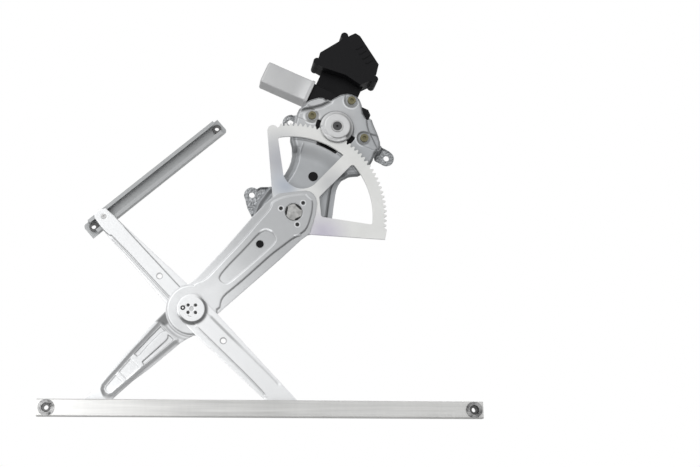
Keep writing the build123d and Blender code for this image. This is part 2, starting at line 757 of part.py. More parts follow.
with BuildPart() as worm_wheel:
    with BuildSketch(front(motor_height - wheel_width / 2, pinion_centre)):
        with BuildLine():
            Polyline(*tooth_points(wheel_teeth, range(wheel_teeth), wheel_phase, wheel_module, 2),
                     close=True)
        make_face()
        Circle(wheel_bore + 0.01, mode=Mode.SUBTRACT)
        with PolarLocations(14.0, 6):
            Circle(3.4, mode=Mode.SUBTRACT)
    extrude(amount=wheel_width)
save(worm_wheel, "worm_wheel")

with BuildPart() as shaft_clip:
    with BuildSketch(front(motor_height - wheel_width / 2 - 1.15, pinion_centre)):
        Circle(wheel_bore + 2.2)
        Circle(wheel_bore - 0.45, mode=Mode.SUBTRACT)
        with Locations((0, wheel_bore + 1)):
            Rectangle(4.4, 6, mode=Mode.SUBTRACT)
    extrude(amount=0.8)
save(shaft_clip, "shaft_clip")

worm_pitch = pi * wheel_module
worm_root = worm_radius - worm_thread
worm_turns = 9
worm_start = mouth_reach - worm_turns / 2 * worm_pitch
shaft_end = mouth_reach + 21.0
with BuildPart() as armature_shaft:
    with BuildSketch(along_motor(-can_length - 0.5)):
        Circle(shaft_radius)
    extrude(amount=can_length + 0.5 + shaft_end)
    with BuildSketch(along_motor(worm_start - 1.5)):
        Circle(worm_root)
    extrude(amount=worm_turns * worm_pitch + 3)
    worm_end = along_motor(worm_start)
    with BuildLine() as thread_path:
        thread = Helix(pitch=worm_pitch, height=(worm_turns - 1) * worm_pitch, radius=worm_root,
                       center=worm_end.origin, direction=worm_end.z_dir)
    with BuildSketch(Plane(
        origin=thread @ 0, x_dir=thread @ 0 - worm_end.origin, z_dir=thread % 0,
    )):
        with BuildLine():
            Polyline((-0.15, -0.42), (2 * worm_thread, -0.2), (2 * worm_thread, 0.2), (-0.15, 0.42),
                     close=True)
        make_face()
    sweep(path=thread, is_frenet=True)
save(armature_shaft, "armature_shaft")

core_run = (11.5 - can_length, -16.0)
with BuildPart() as armature_core:
    with BuildSketch(along_motor(core_run[0])):
        Circle(core_radius)
        Circle(shaft_radius + 0.01, mode=Mode.SUBTRACT)
        with PolarLocations(core_radius - 2.2, 8):
            Rectangle(3.4, 2.6, mode=Mode.SUBTRACT)
        with PolarLocations(core_radius, 8):
            Rectangle(2.4, 1.0, mode=Mode.SUBTRACT)
    extrude(amount=core_run[1] - core_run[0])
save(armature_core, "armature_core")

with BuildPart() as armature_windings:
    for run in (core_run[0] - 4.2, core_run[1] + 0.2):
        with BuildSketch(along_motor(run)):
            Circle(core_radius - 0.6)
            Circle(shaft_radius + 0.6, mode=Mode.SUBTRACT)
        extrude(amount=4.0)
    with BuildSketch(along_motor(core_run[0] - 0.2)):
        with PolarLocations(core_radius - 2.2, 8):
            Rectangle(3.0, 2.2)
    extrude(amount=core_run[1] - core_run[0] + 0.4)
save(armature_windings, "armature_windings")

with BuildPart() as commutator:
    with BuildSketch(along_motor(-10.5)):
        Circle(5.0)
        Circle(shaft_radius + 0.01, mode=Mode.SUBTRACT)
        with PolarLocations(5.0, 8):
            Rectangle(1.2, 0.5, mode=Mode.SUBTRACT)
    extrude(amount=9)
save(commutator, "commutator")

# Motor can with its magnets and bearings
inside_depth = can_depth - 2 * can_wall
inside_width = can_width - 2 * can_wall
with BuildPart() as motor_can:
    with BuildSketch(along_motor(-can_length)):
        RectangleRounded(can_depth, can_width, 5.5)
    extrude(amount=can_length)
    with BuildSketch(along_motor(-can_length - 2.6)):
        Circle(bearing_radius + can_wall)
    extrude(amount=2.6)
    with BuildSketch(along_motor(-can_length + can_wall)):
        RectangleRounded(inside_depth, inside_width, 5.5 - can_wall)
    extrude(amount=can_length, mode=Mode.SUBTRACT)
    with BuildSketch(along_motor(-can_length - 1.2)):
        Circle(bearing_radius)
    extrude(amount=3, mode=Mode.SUBTRACT)
save(motor_can, "motor_can")

with BuildPart() as field_magnets:
    with BuildSketch(along_motor(core_run[0] - 2)):
        Circle(magnet_radius)
        Circle(core_radius + 0.6, mode=Mode.SUBTRACT)
        Rectangle(2 * magnet_radius, 8.0, mode=Mode.SUBTRACT)
    extrude(amount=core_run[1] - core_run[0] + 4)
save(field_magnets, "field_magnets")

with BuildPart() as rear_bearing:
    with BuildSketch(along_motor(-can_length - 1.1)):
        Circle(bearing_radius - 0.01)
        Circle(shaft_radius + running_gap, mode=Mode.SUBTRACT)
    extrude(amount=5)
save(rear_bearing, "rear_bearing")

# Gear housing: wheel cup, worm tunnel, mouth for the can and three screw ears
housing_front = plateau_height - 0.5
cup_inside = wheel_module * wheel_teeth / 2 + 1.4
cup_outside = cup_inside + housing_wall
tunnel_half = 9.4
tunnel_bore = worm_radius + 1.5
mouth_deep = 9.0
mouth_front = housing_front - motor_height
mouth_back = housing_back - motor_height
mouth_middle = (mouth_front + mouth_back) / 2
mouth_width = can_width - 1
tunnel_start = 20
tunnel_end = shaft_end + 9.0
ear_radius = 5.6
with BuildPart() as gear_housing:
    with BuildSketch(front(housing_back, pinion_centre)):
        Circle(cup_outside)
    extrude(amount=housing_front - housing_back)
    with BuildSketch(motor_face(housing_back)) as tunnel:
        with Locations((tunnel_start, 0)):
            Rectangle(tunnel_end - tunnel_start, 2 * tunnel_half, align=(Align.MIN, Align.CENTER))
        chamfer(tunnel.vertices().group_by(Axis.X)[-1], 5.0)
    extrude(amount=housing_front - housing_back)
    with BuildSketch(along_motor(0)):
        with Locations((mouth_middle, 0)):
            RectangleRounded(mouth_front - mouth_back, mouth_width, 3)
    extrude(amount=24)
    for place in motor_screws_at:
        reach = hypot(place[0] - pinion_centre[0], place[1] - pinion_centre[1])
        turn = degrees(atan2(place[1] - pinion_centre[1], place[0] - pinion_centre[0]))
        with BuildSketch(front(2.0, pinion_centre, turn)):
            with Locations((reach / 2, 0)):
                SlotCenterToCenter(reach, 2 * ear_radius - 1.2)
        extrude(amount=housing_front - 2.0)
        with BuildSketch(front(1.5, place)):
            Circle(ear_radius)
        extrude(amount=plateau_height - 1.5)
    with BuildSketch(front(housing_back, pinion_centre)):
        Circle(cup_inside)
    extrude(amount=housing_front - housing_wall - housing_back, mode=Mode.SUBTRACT)
    with BuildSketch(along_motor(0)):
        with Locations((mouth_middle, 0)):
            RectangleRounded(
                mouth_front - mouth_back - 2 * housing_wall, mouth_width - 2 * housing_wall, 2)
    extrude(amount=mouth_deep, mode=Mode.SUBTRACT)
    with BuildSketch(along_motor(0)):
        Circle(bearing_radius)
    extrude(amount=shaft_end + 2, mode=Mode.SUBTRACT)
    with BuildSketch(along_motor(mouth_deep + 8)):
        Circle(tunnel_bore)
    extrude(amount=shaft_end - 5 - mouth_deep - 8, mode=Mode.SUBTRACT)
    with BuildSketch(front(housing_back, pinion_centre)):
        Circle(wheel_bore + running_gap)
    extrude(amount=housing_front - housing_back, mode=Mode.SUBTRACT)
    with BuildSketch(front(plateau_height)):
        for place in motor_screws_at:
            with Locations(place):
                Circle(screw_radius + 0.01)
    extrude(amount=-screw_depth, mode=Mode.SUBTRACT)
save(gear_housing, "gear_housing")

with BuildPart() as gear_housing_cover:
    with BuildSketch(front(housing_back - cover_sheet, pinion_centre)):
        Circle(cup_outside)
    extrude(amount=cover_sheet)
    with BuildSketch(front(housing_back, pinion_centre)):
        Circle(cup_inside - 0.1)
        Circle(cup_inside - 1.6, mode=Mode.SUBTRACT)
    extrude(amount=1.6)
    with BuildSketch(front(housing_back, pinion_centre)):
        Circle(wheel_bore + 2.0)
        Circle(wheel_bore + running_gap, mode=Mode.SUBTRACT)
    extrude(amount=3.0)
    with BuildSketch(front(housing_back - cover_sheet, pinion_centre)):
        with PolarLocations(18, 6):
            Circle(1.2)
    extrude(amount=-0.8)
save(gear_housing_cover, "gear_housing_cover")

with BuildPart() as housing_bearings:
    for run, length in ((mouth_deep, 7.5), (shaft_end - 4.8, 6.0)):
        with BuildSketch(along_motor(run)):
            Circle(bearing_radius - 0.01)
            Circle(shaft_radius + running_gap, mode=Mode.SUBTRACT)
        extrude(amount=length)
save(housing_bearings, "housing_bearings")

# Brush gear in the mouth of the housing
with BuildPart() as brush_holder:
    with BuildSketch(along_motor(0.2)):
        with Locations((mouth_middle, 0)):
            RectangleRounded(
                mouth_front - mouth_back - 2 * housing_wall - 0.4,
                mouth_width - 2 * housing_wall - 0.4, 2)
        Circle(6.4, mode=Mode.SUBTRACT)
    extrude(amount=2.4)
    for side in (-1, 1):
        with BuildSketch(along_motor(-8.6)):
            with Locations((0, side * 8.1)):
                Rectangle(5.0, 5.2)
                Rectangle(3.4, 5.2, mode=Mode.SUBTRACT)
        extrude(amount=8.8)
save(brush_holder, "brush_holder")

with BuildPart() as carbon_brushes:
    for side in (-1, 1):
        with BuildSketch(along_motor(-8.0)):
            with Locations((0, side * 7.9)):
                Rectangle(3.2, 5.0)
        extrude(amount=5.0)
save(carbon_brushes, "carbon_brushes")

# Control module: case with the connector socket at its back, lid, board, relays and terminals
module_outline = (
    (33.5, 197.1), (60.6, 214.8), (76.0, 223.0), (81.5, 219.5), (103.0, 184.0), (100.0, 172.0),
    (97.0, 164.5), (92.5, 163.6), (84.3, 159.5), (80.5, 158.1), (63.5, 169.9), (36.1, 178.7),
    (29.5, 182.5),
)
module_lugs = ((29.8, 186.0), (63.0, 219.0), (97.5, 165.5))
socket_at = (66.0, 192.0)
socket_turn = 33.0
neck = ((1.5, 13.2), (53.0, 13.2), (53.0, 37.0), (1.5, 40.0))
neck_back = -9.0
neck_front = 1.0
with BuildPart() as module_case:
    with BuildSketch(front(module_back)) as case_face:
        with BuildLine():
            Polyline(*module_outline, close=True)
        make_face()
        fillet(case_face.vertices(), 1.5)
        for lug in module_lugs:
            with Locations(lug):
                Circle(4.4)
    extrude(amount=module_split - module_back)
    with BuildSketch(motor_face(neck_back)):
        with BuildLine():
            Polyline(*neck, close=True)
        make_face()
    extrude(amount=neck_front - neck_back)
    with BuildSketch(front(module_back + module_wall)):
        with BuildLine():
            Polyline(*module_outline, close=True)
        make_face()
        offset(amount=-module_wall, kind=Kind.INTERSECTION, mode=Mode.REPLACE)
    extrude(amount=module_split - module_back, mode=Mode.SUBTRACT)
    with BuildSketch(front(module_back, socket_at, socket_turn)):
        RectangleRounded(socket_width + 4, socket_height + 4, 1.5)
        Rectangle(socket_width, socket_height, mode=Mode.SUBTRACT)
    extrude(amount=-socket_depth)
    with BuildSketch(front(module_back, socket_at, socket_turn)):
        with Locations((-6, 5.5), (6, 5.5)):
            Rectangle(4.2, 0.9)
        with Locations((0, -4)):
            with GridLocations(4.6, 5.4, 4, 2):
                Rectangle(0.7, 0.7)
    extrude(amount=module_wall, mode=Mode.SUBTRACT)
save(module_case, "module_case")

with BuildPart() as module_cover:
    with BuildSketch(front(module_split)) as cover_face:
        with BuildLine():
            Polyline(*module_outline, close=True)
        make_face()
        fillet(cover_face.vertices(), 1.5)
        for lug in module_lugs:
            with Locations(lug):
                Circle(4.4)
    extrude(amount=module_top - module_split)
    with BuildSketch(front(module_split)):
        with BuildLine():
            Polyline(*module_outline, close=True)
        make_face()
        offset(amount=-module_wall, kind=Kind.INTERSECTION, mode=Mode.REPLACE)
    extrude(amount=module_top - module_split - module_wall, mode=Mode.SUBTRACT)
    with BuildSketch(front(module_top, (86.0, 196.0), -57.0)):
        with GridLocations(7.0, 1, 4, 1):
            Rectangle(1.6, 9.0)
    extrude(amount=1.0)
save(module_cover, "module_cover")

board_height = module_back + 6
board_sheet = 1.6
with BuildPart() as circuit_board:
    with BuildSketch(front(board_height)):
        with BuildLine():
            Polyline(*module_outline, close=True)
        make_face()
        offset(amount=-module_wall - 0.5, kind=Kind.INTERSECTION, mode=Mode.REPLACE)
    extrude(amount=board_sheet)
    with BuildSketch(front(board_height, socket_at, socket_turn)):
        with Locations((-6, 5.5), (6, 5.5)):
            Rectangle(4.2, 0.9)
        with Locations((0, -4)):
            with GridLocations(4.6, 5.4, 4, 2):
                Rectangle(0.7, 0.7)
    extrude(amount=board_sheet, mode=Mode.SUBTRACT)
    with BuildSketch(front(module_back + module_wall, socket_at, socket_turn)):
        with GridLocations(24, 24, 2, 2):
            Circle(1.5)
    extrude(amount=board_height - module_back - module_wall)
save(circuit_board, "circuit_board")

with BuildPart() as relays:
    with BuildSketch(front(board_height + board_sheet, socket_at, socket_turn)):
        with Locations((3, -26), (17, -20)):
            Rectangle(12.5, 10.5)
    extrude(amount=11)
save(relays, "relays")

with BuildPart() as connector_terminals:
    with BuildSketch(front(module_back - 7.5, socket_at, socket_turn)):
        with Locations((-6, 5.5), (6, 5.5)):
            Rectangle(4.2, 0.9)
        with Locations((0, -4)):
            with GridLocations(4.6, 5.4, 4, 2):
                Rectangle(0.7, 0.7)
    extrude(amount=14.6)
save(connector_terminals, "connector_terminals")
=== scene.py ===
"""Looks for the crossed-arm window regulator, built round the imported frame."""

import logging
import math
from dataclasses import dataclass
from enum import Enum
from functools import reduce
from typing import Callable, Sequence

import bmesh
import bpy
import numpy as np
from mathutils import Matrix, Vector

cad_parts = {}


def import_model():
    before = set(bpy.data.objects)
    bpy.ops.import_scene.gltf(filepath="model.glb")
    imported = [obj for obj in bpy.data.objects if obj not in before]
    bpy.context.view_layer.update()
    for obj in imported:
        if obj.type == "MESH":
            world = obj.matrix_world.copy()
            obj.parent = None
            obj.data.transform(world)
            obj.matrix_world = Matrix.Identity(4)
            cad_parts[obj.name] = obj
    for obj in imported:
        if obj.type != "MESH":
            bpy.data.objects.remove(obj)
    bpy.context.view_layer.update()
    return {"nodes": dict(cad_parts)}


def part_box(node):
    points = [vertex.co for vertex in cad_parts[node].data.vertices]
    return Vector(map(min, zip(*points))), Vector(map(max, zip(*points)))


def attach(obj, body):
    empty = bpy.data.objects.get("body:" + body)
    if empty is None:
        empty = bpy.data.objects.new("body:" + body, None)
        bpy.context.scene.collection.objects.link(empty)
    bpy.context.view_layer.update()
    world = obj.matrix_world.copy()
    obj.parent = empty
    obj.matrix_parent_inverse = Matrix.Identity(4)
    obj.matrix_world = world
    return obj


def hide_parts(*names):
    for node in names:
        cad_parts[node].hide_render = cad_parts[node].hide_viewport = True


log = logging.getLogger("regulator")

Grid = np.ndarray
Pair = tuple[float, float]
Triple = tuple[float, float, float]
Points = tuple[Grid, Grid]
Marks = tuple[Grid, Grid]
Field = Callable[[Grid, Grid], Grid]
Shade = Callable[[Grid, Grid], Marks]
Piece = bpy.types.Object
Material = bpy.types.Material

# Sector's pivot in the row frame, the other centres from that pivot, all in millimetres
PIVOT: Pair = (46.2, -24.4)
CROSSING: Pair = (-113.48, -113.08)
LEFT_ROLLER: Pair = (-216.54, -222.07)
RIGHT_ROLLER: Pair = (-10.41, -222.07)
SHORT_ROLLER: Pair = (-213.47, -8.08)
PINION: Pair = (51.22, 103.19)
SCREWS: tuple[Pair, ...] = ((69.6, 137.6), (23, 117.9), (83.5, 91.7))

# Radius of a stud's hole, the height under which the rail hides the arms, a distance beyond all
STUD_HOLE = 3.1
RAIL_EDGE = -228.4
FAR = 1e3

# Direction that the relief takes as lit, and the bend and slope that count in full
LIT_UP = 0.87
LIT_LEFT = 0.5
SHARP_BEND = 0.25
STEEP = 0.6


class Finish(Enum):
    """Names of the record's material slots."""

    GALVANISED = "galvanised"
    BRIGHT = "bright_steel"
    PIN = "pin_steel"


# Flat shapes as signed distances

def ramp(value: Grid, low: float, high: float) -> Grid:
    """Smooth step from 0 at low to 1 at high: 3t^2 - 2t^3.

    Args:
        value: Numbers to map.
        low: Value that gives 0.
        high: Value that gives 1.
    Returns:
        The mapped numbers.
    """
    t = np.clip((value - low) / (high - low), 0, 1)
    return t * t * (3 - 2 * t)


def fall(value: Grid, low: float, high: float) -> Grid:
    """Smooth step from 1 at low to 0 at high: 1 less the ramp."""
    return 1.0 - ramp(value, low, high)


def line(value: Grid, low: float, high: float) -> Grid:
    """1 where a distance is nearer to zero than low, 0 where it is farther than high."""
    return fall(np.abs(value), low, high)


def most(*marks: Grid) -> Grid:
    """The strongest of several marks at each point."""
    return reduce(np.maximum, marks)


def rounded(corners: Sequence[Pair], rounds: int = 2) -> Grid:
    """Closed outline with its corners cut off again and again at a quarter of each side.

    Args:
        corners: Corner points in order.
        rounds: How many times the corners are cut.
    Returns:
        The outline's points, one per row.
    """
    points = np.asarray(corners, dtype=float)
    for _ in range(rounds):
        after = np.roll(points, -1, axis=0)
        near = 0.75 * points + 0.25 * after
        far = 0.25 * points + 0.75 * after
        points = np.stack([near, far], axis=1).reshape(-1, 2)
    return points


def polygon(x: Grid, y: Grid, corners: "Grid | Sequence[Pair]") -> Grid:
    """Signed distance to a polygon: least distance to a side, negative inside by crossing count.

    Args:
        x: First coordinates in millimetres.
        y: Second coordinates in millimetres.
        corners: Corner points, one per row.
    Returns:
        The distances, in the shape of x.
    """
    start = np.asarray(corners, dtype=float)
    side = np.roll(start, -1, axis=0) - start
    length = np.maximum((side ** 2).sum(axis=1), 1e-12)
    flat_x = x.reshape(-1, 1)
    flat_y = y.reshape(-1, 1)
    to_x = flat_x - start[:, 0]
    to_y = flat_y - start[:, 1]
    share = np.clip((to_x * side[:, 0] + to_y * side[:, 1]) / length, 0, 1)
    gap = np.sqrt(((to_x - share * side[:, 0]) ** 2 + (to_y - share * side[:, 1]) ** 2).min(axis=1))
    above = start[:, 1] <= flat_y
    next_above = np.roll(start[:, 1], -1) <= flat_y
    rise = np.where(np.abs(side[:, 1]) < 1e-12, 1e-12, side[:, 1])
    left = to_x < to_y / rise * side[:, 0]
    inside = ((above != next_above) & left).sum(axis=1) % 2 == 1
    return np.where(inside, -gap, gap).reshape(x.shape)


def disc(x: Grid, y: Grid, centre: Pair, radius: float) -> Grid:
    """Signed distance to a circle: distance to its centre less its radius."""
    return np.hypot(x - centre[0], y - centre[1]) - radius


def drilled(shape: Grid, x: Grid, y: Grid, holes: Sequence[tuple[Pair, float]]) -> Grid:
    """A shape less round holes: the larger of its distance and each hole's negative distance.

    Args:
        shape: Signed distances of the shape.
        x: First coordinates.
        y: Second coordinates.
        holes: Centres with radii.
    Returns:
        Signed distances of the drilled shape.
    """
    for centre, radius in holes:
        shape = np.maximum(shape, -disc(x, y, centre, radius))
    return shape


def capsule(x: Grid, y: Grid, start: Pair, end: Pair, first: float, last: float) -> Grid:
    """Signed distance to a bar with round ends: distance to its spine less a radius that tapers.

    Args:
        x: First coordinates.
        y: Second coordinates.
        start: One end of the spine.
        end: The other end of the spine.
        first: Radius at the start.
        last: Radius at the end.
    Returns:
        The distances.
    """
    run_x = end[0] - start[0]
    run_y = end[1] - start[1]
    to_x = x - start[0]
    to_y = y - start[1]
    share = np.clip((to_x * run_x + to_y * run_y) / (run_x ** 2 + run_y ** 2), 0, 1)
    return np.hypot(to_x - share * run_x, to_y - share * run_y) - first - share * (last - first)


def spangle(x: Grid, y: Grid, cell: float, seed: int) -> Grid:
    """Value noise from -1 to 1: random numbers on a square lattice, blended smoothly between points.

    Args:
        x: First coordinates in millimetres.
        y: Second coordinates.
        cell: Spacing of the lattice.
        seed: Seed of the random numbers.
    Returns:
        The noise.
    """
    size = 64
    table = np.random.default_rng(seed).uniform(-1, 1, (size, size))
    u = (x * 0.82 - y * 0.57) / cell
    v = (x * 0.57 + y * 0.82) / cell
    i = np.floor(u).astype(int)
    j = np.floor(v).astype(int)
    s = ramp(u - i, 0, 1)
    t = ramp(v - j, 0, 1)
    low, high = (
        table[i % size, k % size] * (1 - s) + table[(i + 1) % size, k % size] * s for k in (j, j + 1))
    return low * (1 - t) + high * t


def heading(angle: float) -> Pair:
    """Cosine and sine of an angle in degrees."""
    return math.cos(math.radians(angle)), math.sin(math.radians(angle))


def polar(length: float, angle: float, start: Pair = (0, 0)) -> Pair:
    """Point at a length and an angle in degrees from a start point."""
    c, s = heading(angle)
    return (start[0] + length * c, start[1] + length * s)


def from_crossing(x: Grid, y: Grid, angle: float) -> Points:
    """Distances along and across a bar at an angle in degrees from the crossing."""
    c, s = heading(angle)
    to_x = x - CROSSING[0]
    to_y = y - CROSSING[1]
    return to_x * c + to_y * s, to_y * c - to_x * s


def along_arm(points: Sequence[Pair], angle: float, start: Pair) -> list[Pair]:
    """Turns points given as (along, across) an arm into points of the mechanism's plane.

    Args:
        points: Distances along and across the arm.
        angle: The arm's direction in degrees.
        start: The arm's first pivot.
    Returns:
        The same points from the sector pivot.
    """
    c, s = heading(angle)
    return [(start[0] + a * c - b * s, start[1] + a * s + b * c) for a, b in points]


# Meshes

def to_row(x: Grid, y: Grid, height: Grid) -> Grid:
    """Row-frame metres of points in the mechanism's plane: X = x + pivot, Y = -height, Z = y + pivot."""
    return np.stack([(x + PIVOT[0]) / 1000, -height / 1000, (y + PIVOT[1]) / 1000], axis=-1)


def lattice(rows: int, columns: int, round_rows: bool = True, round_columns: bool = True) -> Grid:
    """Quads between the numbered points of a lattice.

    Args:
        rows: Number of rows.
        columns: Number of points in a row.
        round_rows: Whether the last row joins the first.
        round_columns: Whether each row's last point joins its first.
    Returns:
        Corner numbers, one quad per row.
    """
    number = np.arange(rows * columns).reshape(rows, columns)
    ahead = np.roll(number, -1, axis=0)
    quads = np.stack([number, np.roll(number, -1, axis=1), np.roll(ahead, -1, axis=1), ahead], axis=-1)
    return quads[:rows if round_rows else -1, :columns if round_columns else -1].reshape(-1, 4)


def weld(piece: Piece, reach: float) -> None:
    """Merges vertices that lie within a reach in metres, so no face has zero area."""
    shell = bmesh.new()
    shell.from_mesh(piece.data)
    bmesh.ops.remove_doubles(shell, verts=shell.verts, dist=reach)
    shell.to_mesh(piece.data)
    shell.free()


def make_piece(name: str, points: Grid, faces: Grid, sharp: float = 40) -> Piece:
    """Makes a smooth-shaded mesh object at the origin.

    Args:
        name: The piece's name.
        points: Vertices in metres, one per row.
        faces: Corner numbers of the quads, one quad per row.
        sharp: Angle in degrees past which an edge stays sharp.
    Returns:
        The object, linked to the scene.
    """
    mesh = bpy.data.meshes.new(name)
    mesh.vertices.add(len(points))
    mesh.vertices.foreach_set("co", np.ascontiguousarray(points, dtype=np.float32).ravel())
    mesh.loops.add(faces.size)
    mesh.loops.foreach_set("vertex_index", np.ascontiguousarray(faces, dtype=np.int32).ravel())
    mesh.polygons.add(len(faces))
    mesh.polygons.foreach_set("loop_start", np.arange(0, faces.size, faces.shape[1], dtype=np.int32))
    mesh.update(calc_edges=True)
    mesh.validate()
    mesh.polygons.foreach_set("use_smooth", np.ones(len(mesh.polygons), dtype=bool))
    mesh.set_sharp_from_angle(angle=math.radians(sharp))
    piece = bpy.data.objects.new(name, mesh)
    bpy.context.collection.objects.link(piece)
    return piece


def write_relief(piece: Piece, ridge: Grid, crease: Grid, wall: Grid) -> None:
    """Stores how far each vertex lies on a ridge, in a crease or on a slope, which the material turns into
    painted highlights and painted shade.

    Args:
        piece: The object that gets the attribute.
        ridge: 0 to 1 per vertex.
        crease: 0 to 1 per vertex.
        wall: 0 to 1 per vertex.
    """
    layer = piece.data.attributes.new("relief", "FLOAT_COLOR", "POINT")
    colours = np.stack([ridge, crease, wall, np.ones_like(ridge)], axis=-1)
    layer.data.foreach_set("color", np.ascontiguousarray(colours, dtype=np.float32).ravel())


@dataclass
class PressedSheet:
    """A sheet-metal stamping: a trimmed grid with a height field as its front face.

    The grid runs along the stamping. Cells whose middle lies outside the outline are dropped, the
    vertices left on the rim move onto the outline along its gradient, and the back face is the
    front face moved by the sheet's thickness.
    """

    name: str
    centre: Pair
    turn: float
    reach: tuple[float, float, float, float]
    outline: Field
    height: Field
    sheet: float
    step: float = 0.7
    edge_break: float = 0.3
    shade: Shade | None = None
    wall_weight: float = 1.0
    rim_width: float = 1.5
    weld_share: float = 0.00012

    def grid(self) -> Points:
        """Grid of plane points: u along the stamping and v across it, turned and moved to its place."""
        u, v = np.meshgrid(
            np.arange(self.reach[0], self.reach[1], self.step),
            np.arange(self.reach[2], self.reach[3], self.step), indexing="ij")
        c, s = heading(self.turn)
        return self.centre[0] + u * c - v * s, self.centre[1] + u * s + v * c

    def snapped(self, x: Grid, y: Grid) -> Points:
        """Moves points onto the outline by steps of distance over gradient.

        Args:
            x: First coordinates of the rim's points.
            y: Second coordinates.
        Returns:
            The moved coordinates.
        """
        small = 0.05
        least = 0.25
        for _ in range(3):
            gap = self.outline(x, y)
            slope_x = (self.outline(x + small, y) - self.outline(x - small, y)) / (2 * small)
            slope_y = (self.outline(x, y + small) - self.outline(x, y - small)) / (2 * small)
            size = np.maximum(slope_x ** 2 + slope_y ** 2, least)
            x = x - gap * slope_x / size
            y = y - gap * slope_y / size
        return x, y

    def relief(self, x: Grid, y: Grid, level: Grid) -> tuple[Grid, Grid, Grid]:
        """Painted highlights and painted shade: ridges and creases by the bend of the face, slopes by their
        steepness and side of the light.

        Args:
            x: First coordinates of the grid.
            y: Second coordinates.
            level: Height of the front face.
        Returns:
            How far each point gets a painted highlight on a ridge, painted shade in a crease and painted
            shade on a wall.
        """
        bend = np.zeros_like(level)
        bend[1:-1, 1:-1] = (level[2:, 1:-1] + level[:-2, 1:-1] + level[1:-1, 2:] + level[1:-1, :-2]
                            - 4 * level[1:-1, 1:-1])
        slope_u = np.gradient(level, axis=0) / self.step
        slope_v = np.gradient(level, axis=1) / self.step
        slope = np.hypot(slope_u, slope_v)
        c, s = heading(self.turn)
        upward = -(slope_u * s + slope_v * c) * LIT_UP + (slope_u * c - slope_v * s) * LIT_LEFT
        upward = np.clip(upward / np.maximum(slope, 1e-6), -1, 1)
        rim_near = ramp(-self.outline(x, y), 0, self.rim_width)
        steep = np.clip(slope / STEEP, 0, 1)
        # Painted highlights on ridges and on slopes that face the light, painted shade in creases and on
        # slopes that face away
        ridge = np.clip(-bend / SHARP_BEND, 0, 1) * rim_near * (0.35 + 0.35 * upward)
        ridge = ridge + steep * np.clip(upward, 0, 1) * 0.25
        crease = np.clip(bend / SHARP_BEND, 0, 1) * rim_near * (0.6 - 0.4 * upward)
        wall = steep * (0.5 - 0.5 * upward) * self.wall_weight
        if self.shade is not None:
            dark, light = self.shade(x, y)
            wall = np.maximum(wall, dark)
            ridge = np.maximum(ridge, light)
        return ridge, crease, wall

    def shell(self, keep: Grid, used: Grid) -> Grid:
        """Quads of the front face, the back face and the rim between them.

        Args:
            keep: Which cells of the grid belong to the stamping.
            used: Which points of the grid are corners of such a cell.
        Returns:
            Corner numbers, one quad per row, with the back face's points after the front face's.
        """
        count = int(used.sum())
        number = np.full(used.shape, -1)
        number[used] = np.arange(count)
        corners = (number[:-1, :-1], number[1:, :-1], number[1:, 1:], number[:-1, 1:])
        faces = np.stack(corners, axis=-1)[keep]
        padded = np.pad(keep, 1)
        beyond = (padded[1:-1, :-2], padded[2:, 1:-1], padded[1:-1, 2:], padded[:-2, 1:-1])
        ends = np.concatenate([
            np.stack([start[keep & ~out], end[keep & ~out]], axis=-1)
            for start, end, out in zip(corners, corners[1:] + corners[:1], beyond)])
        sides = np.stack([ends[:, 0], ends[:, 0] + count, ends[:, 1] + count, ends[:, 1]], axis=-1)
        return np.concatenate([faces, faces[:, ::-1] + count, sides])

    def build(self) -> Piece:
        """Builds the stamping.

        Returns:
            The closed mesh object, with its relief attribute.
        """
        x, y = self.grid()
        gap = self.outline(x, y)
        keep = (gap[:-1, :-1] + gap[1:, :-1] + gap[:-1, 1:] + gap[1:, 1:]) / 4 < 0
        padded = np.pad(keep, 1)
        around = padded[:-1, :-1].astype(int) + padded[1:, :-1] + padded[:-1, 1:] + padded[1:, 1:]
        used = around > 0
        rim = used & (around < 4)
        x[rim], y[rim] = self.snapped(x[rim], y[rim])
        level = self.height(x, y)
        front_level = level - self.edge_break * fall(-self.outline(x, y), 0, 1)
        front = to_row(x[used], y[used], front_level[used])
        back = to_row(x[used], y[used], level[used] - self.sheet)
        piece = make_piece(self.name, np.concatenate([front, back]), self.shell(keep, used))
        doubled = (np.concatenate([part[used], part[used]]) for part in self.relief(x, y, level))
        write_relief(piece, *doubled)
        weld(piece, self.weld_share * self.step)
        return piece


# Shader graph

class Signal:
    """A shader socket that takes part in arithmetic."""

    def __init__(self, graph: "Graph", socket: bpy.types.NodeSocket) -> None:
        """Wraps a socket of a graph."""
        self.graph = graph
        self.socket = socket

    def __add__(self, other: "Signal | float") -> "Signal":
        """Sum."""
        return self.graph.maths("ADD", self, other)

    __radd__ = __add__

    def __sub__(self, other: "Signal | float") -> "Signal":
        """Difference."""
        return self.graph.maths("SUBTRACT", self, other)

    def __mul__(self, other: "Signal | float") -> "Signal":
        """Product."""
        return self.graph.maths("MULTIPLY", self, other)

    __rmul__ = __mul__

    def clipped(self) -> "Signal":
        """Kept between 0 and 1."""
        return self.graph.maths("MINIMUM", self.graph.maths("MAXIMUM", self, 0), 1)


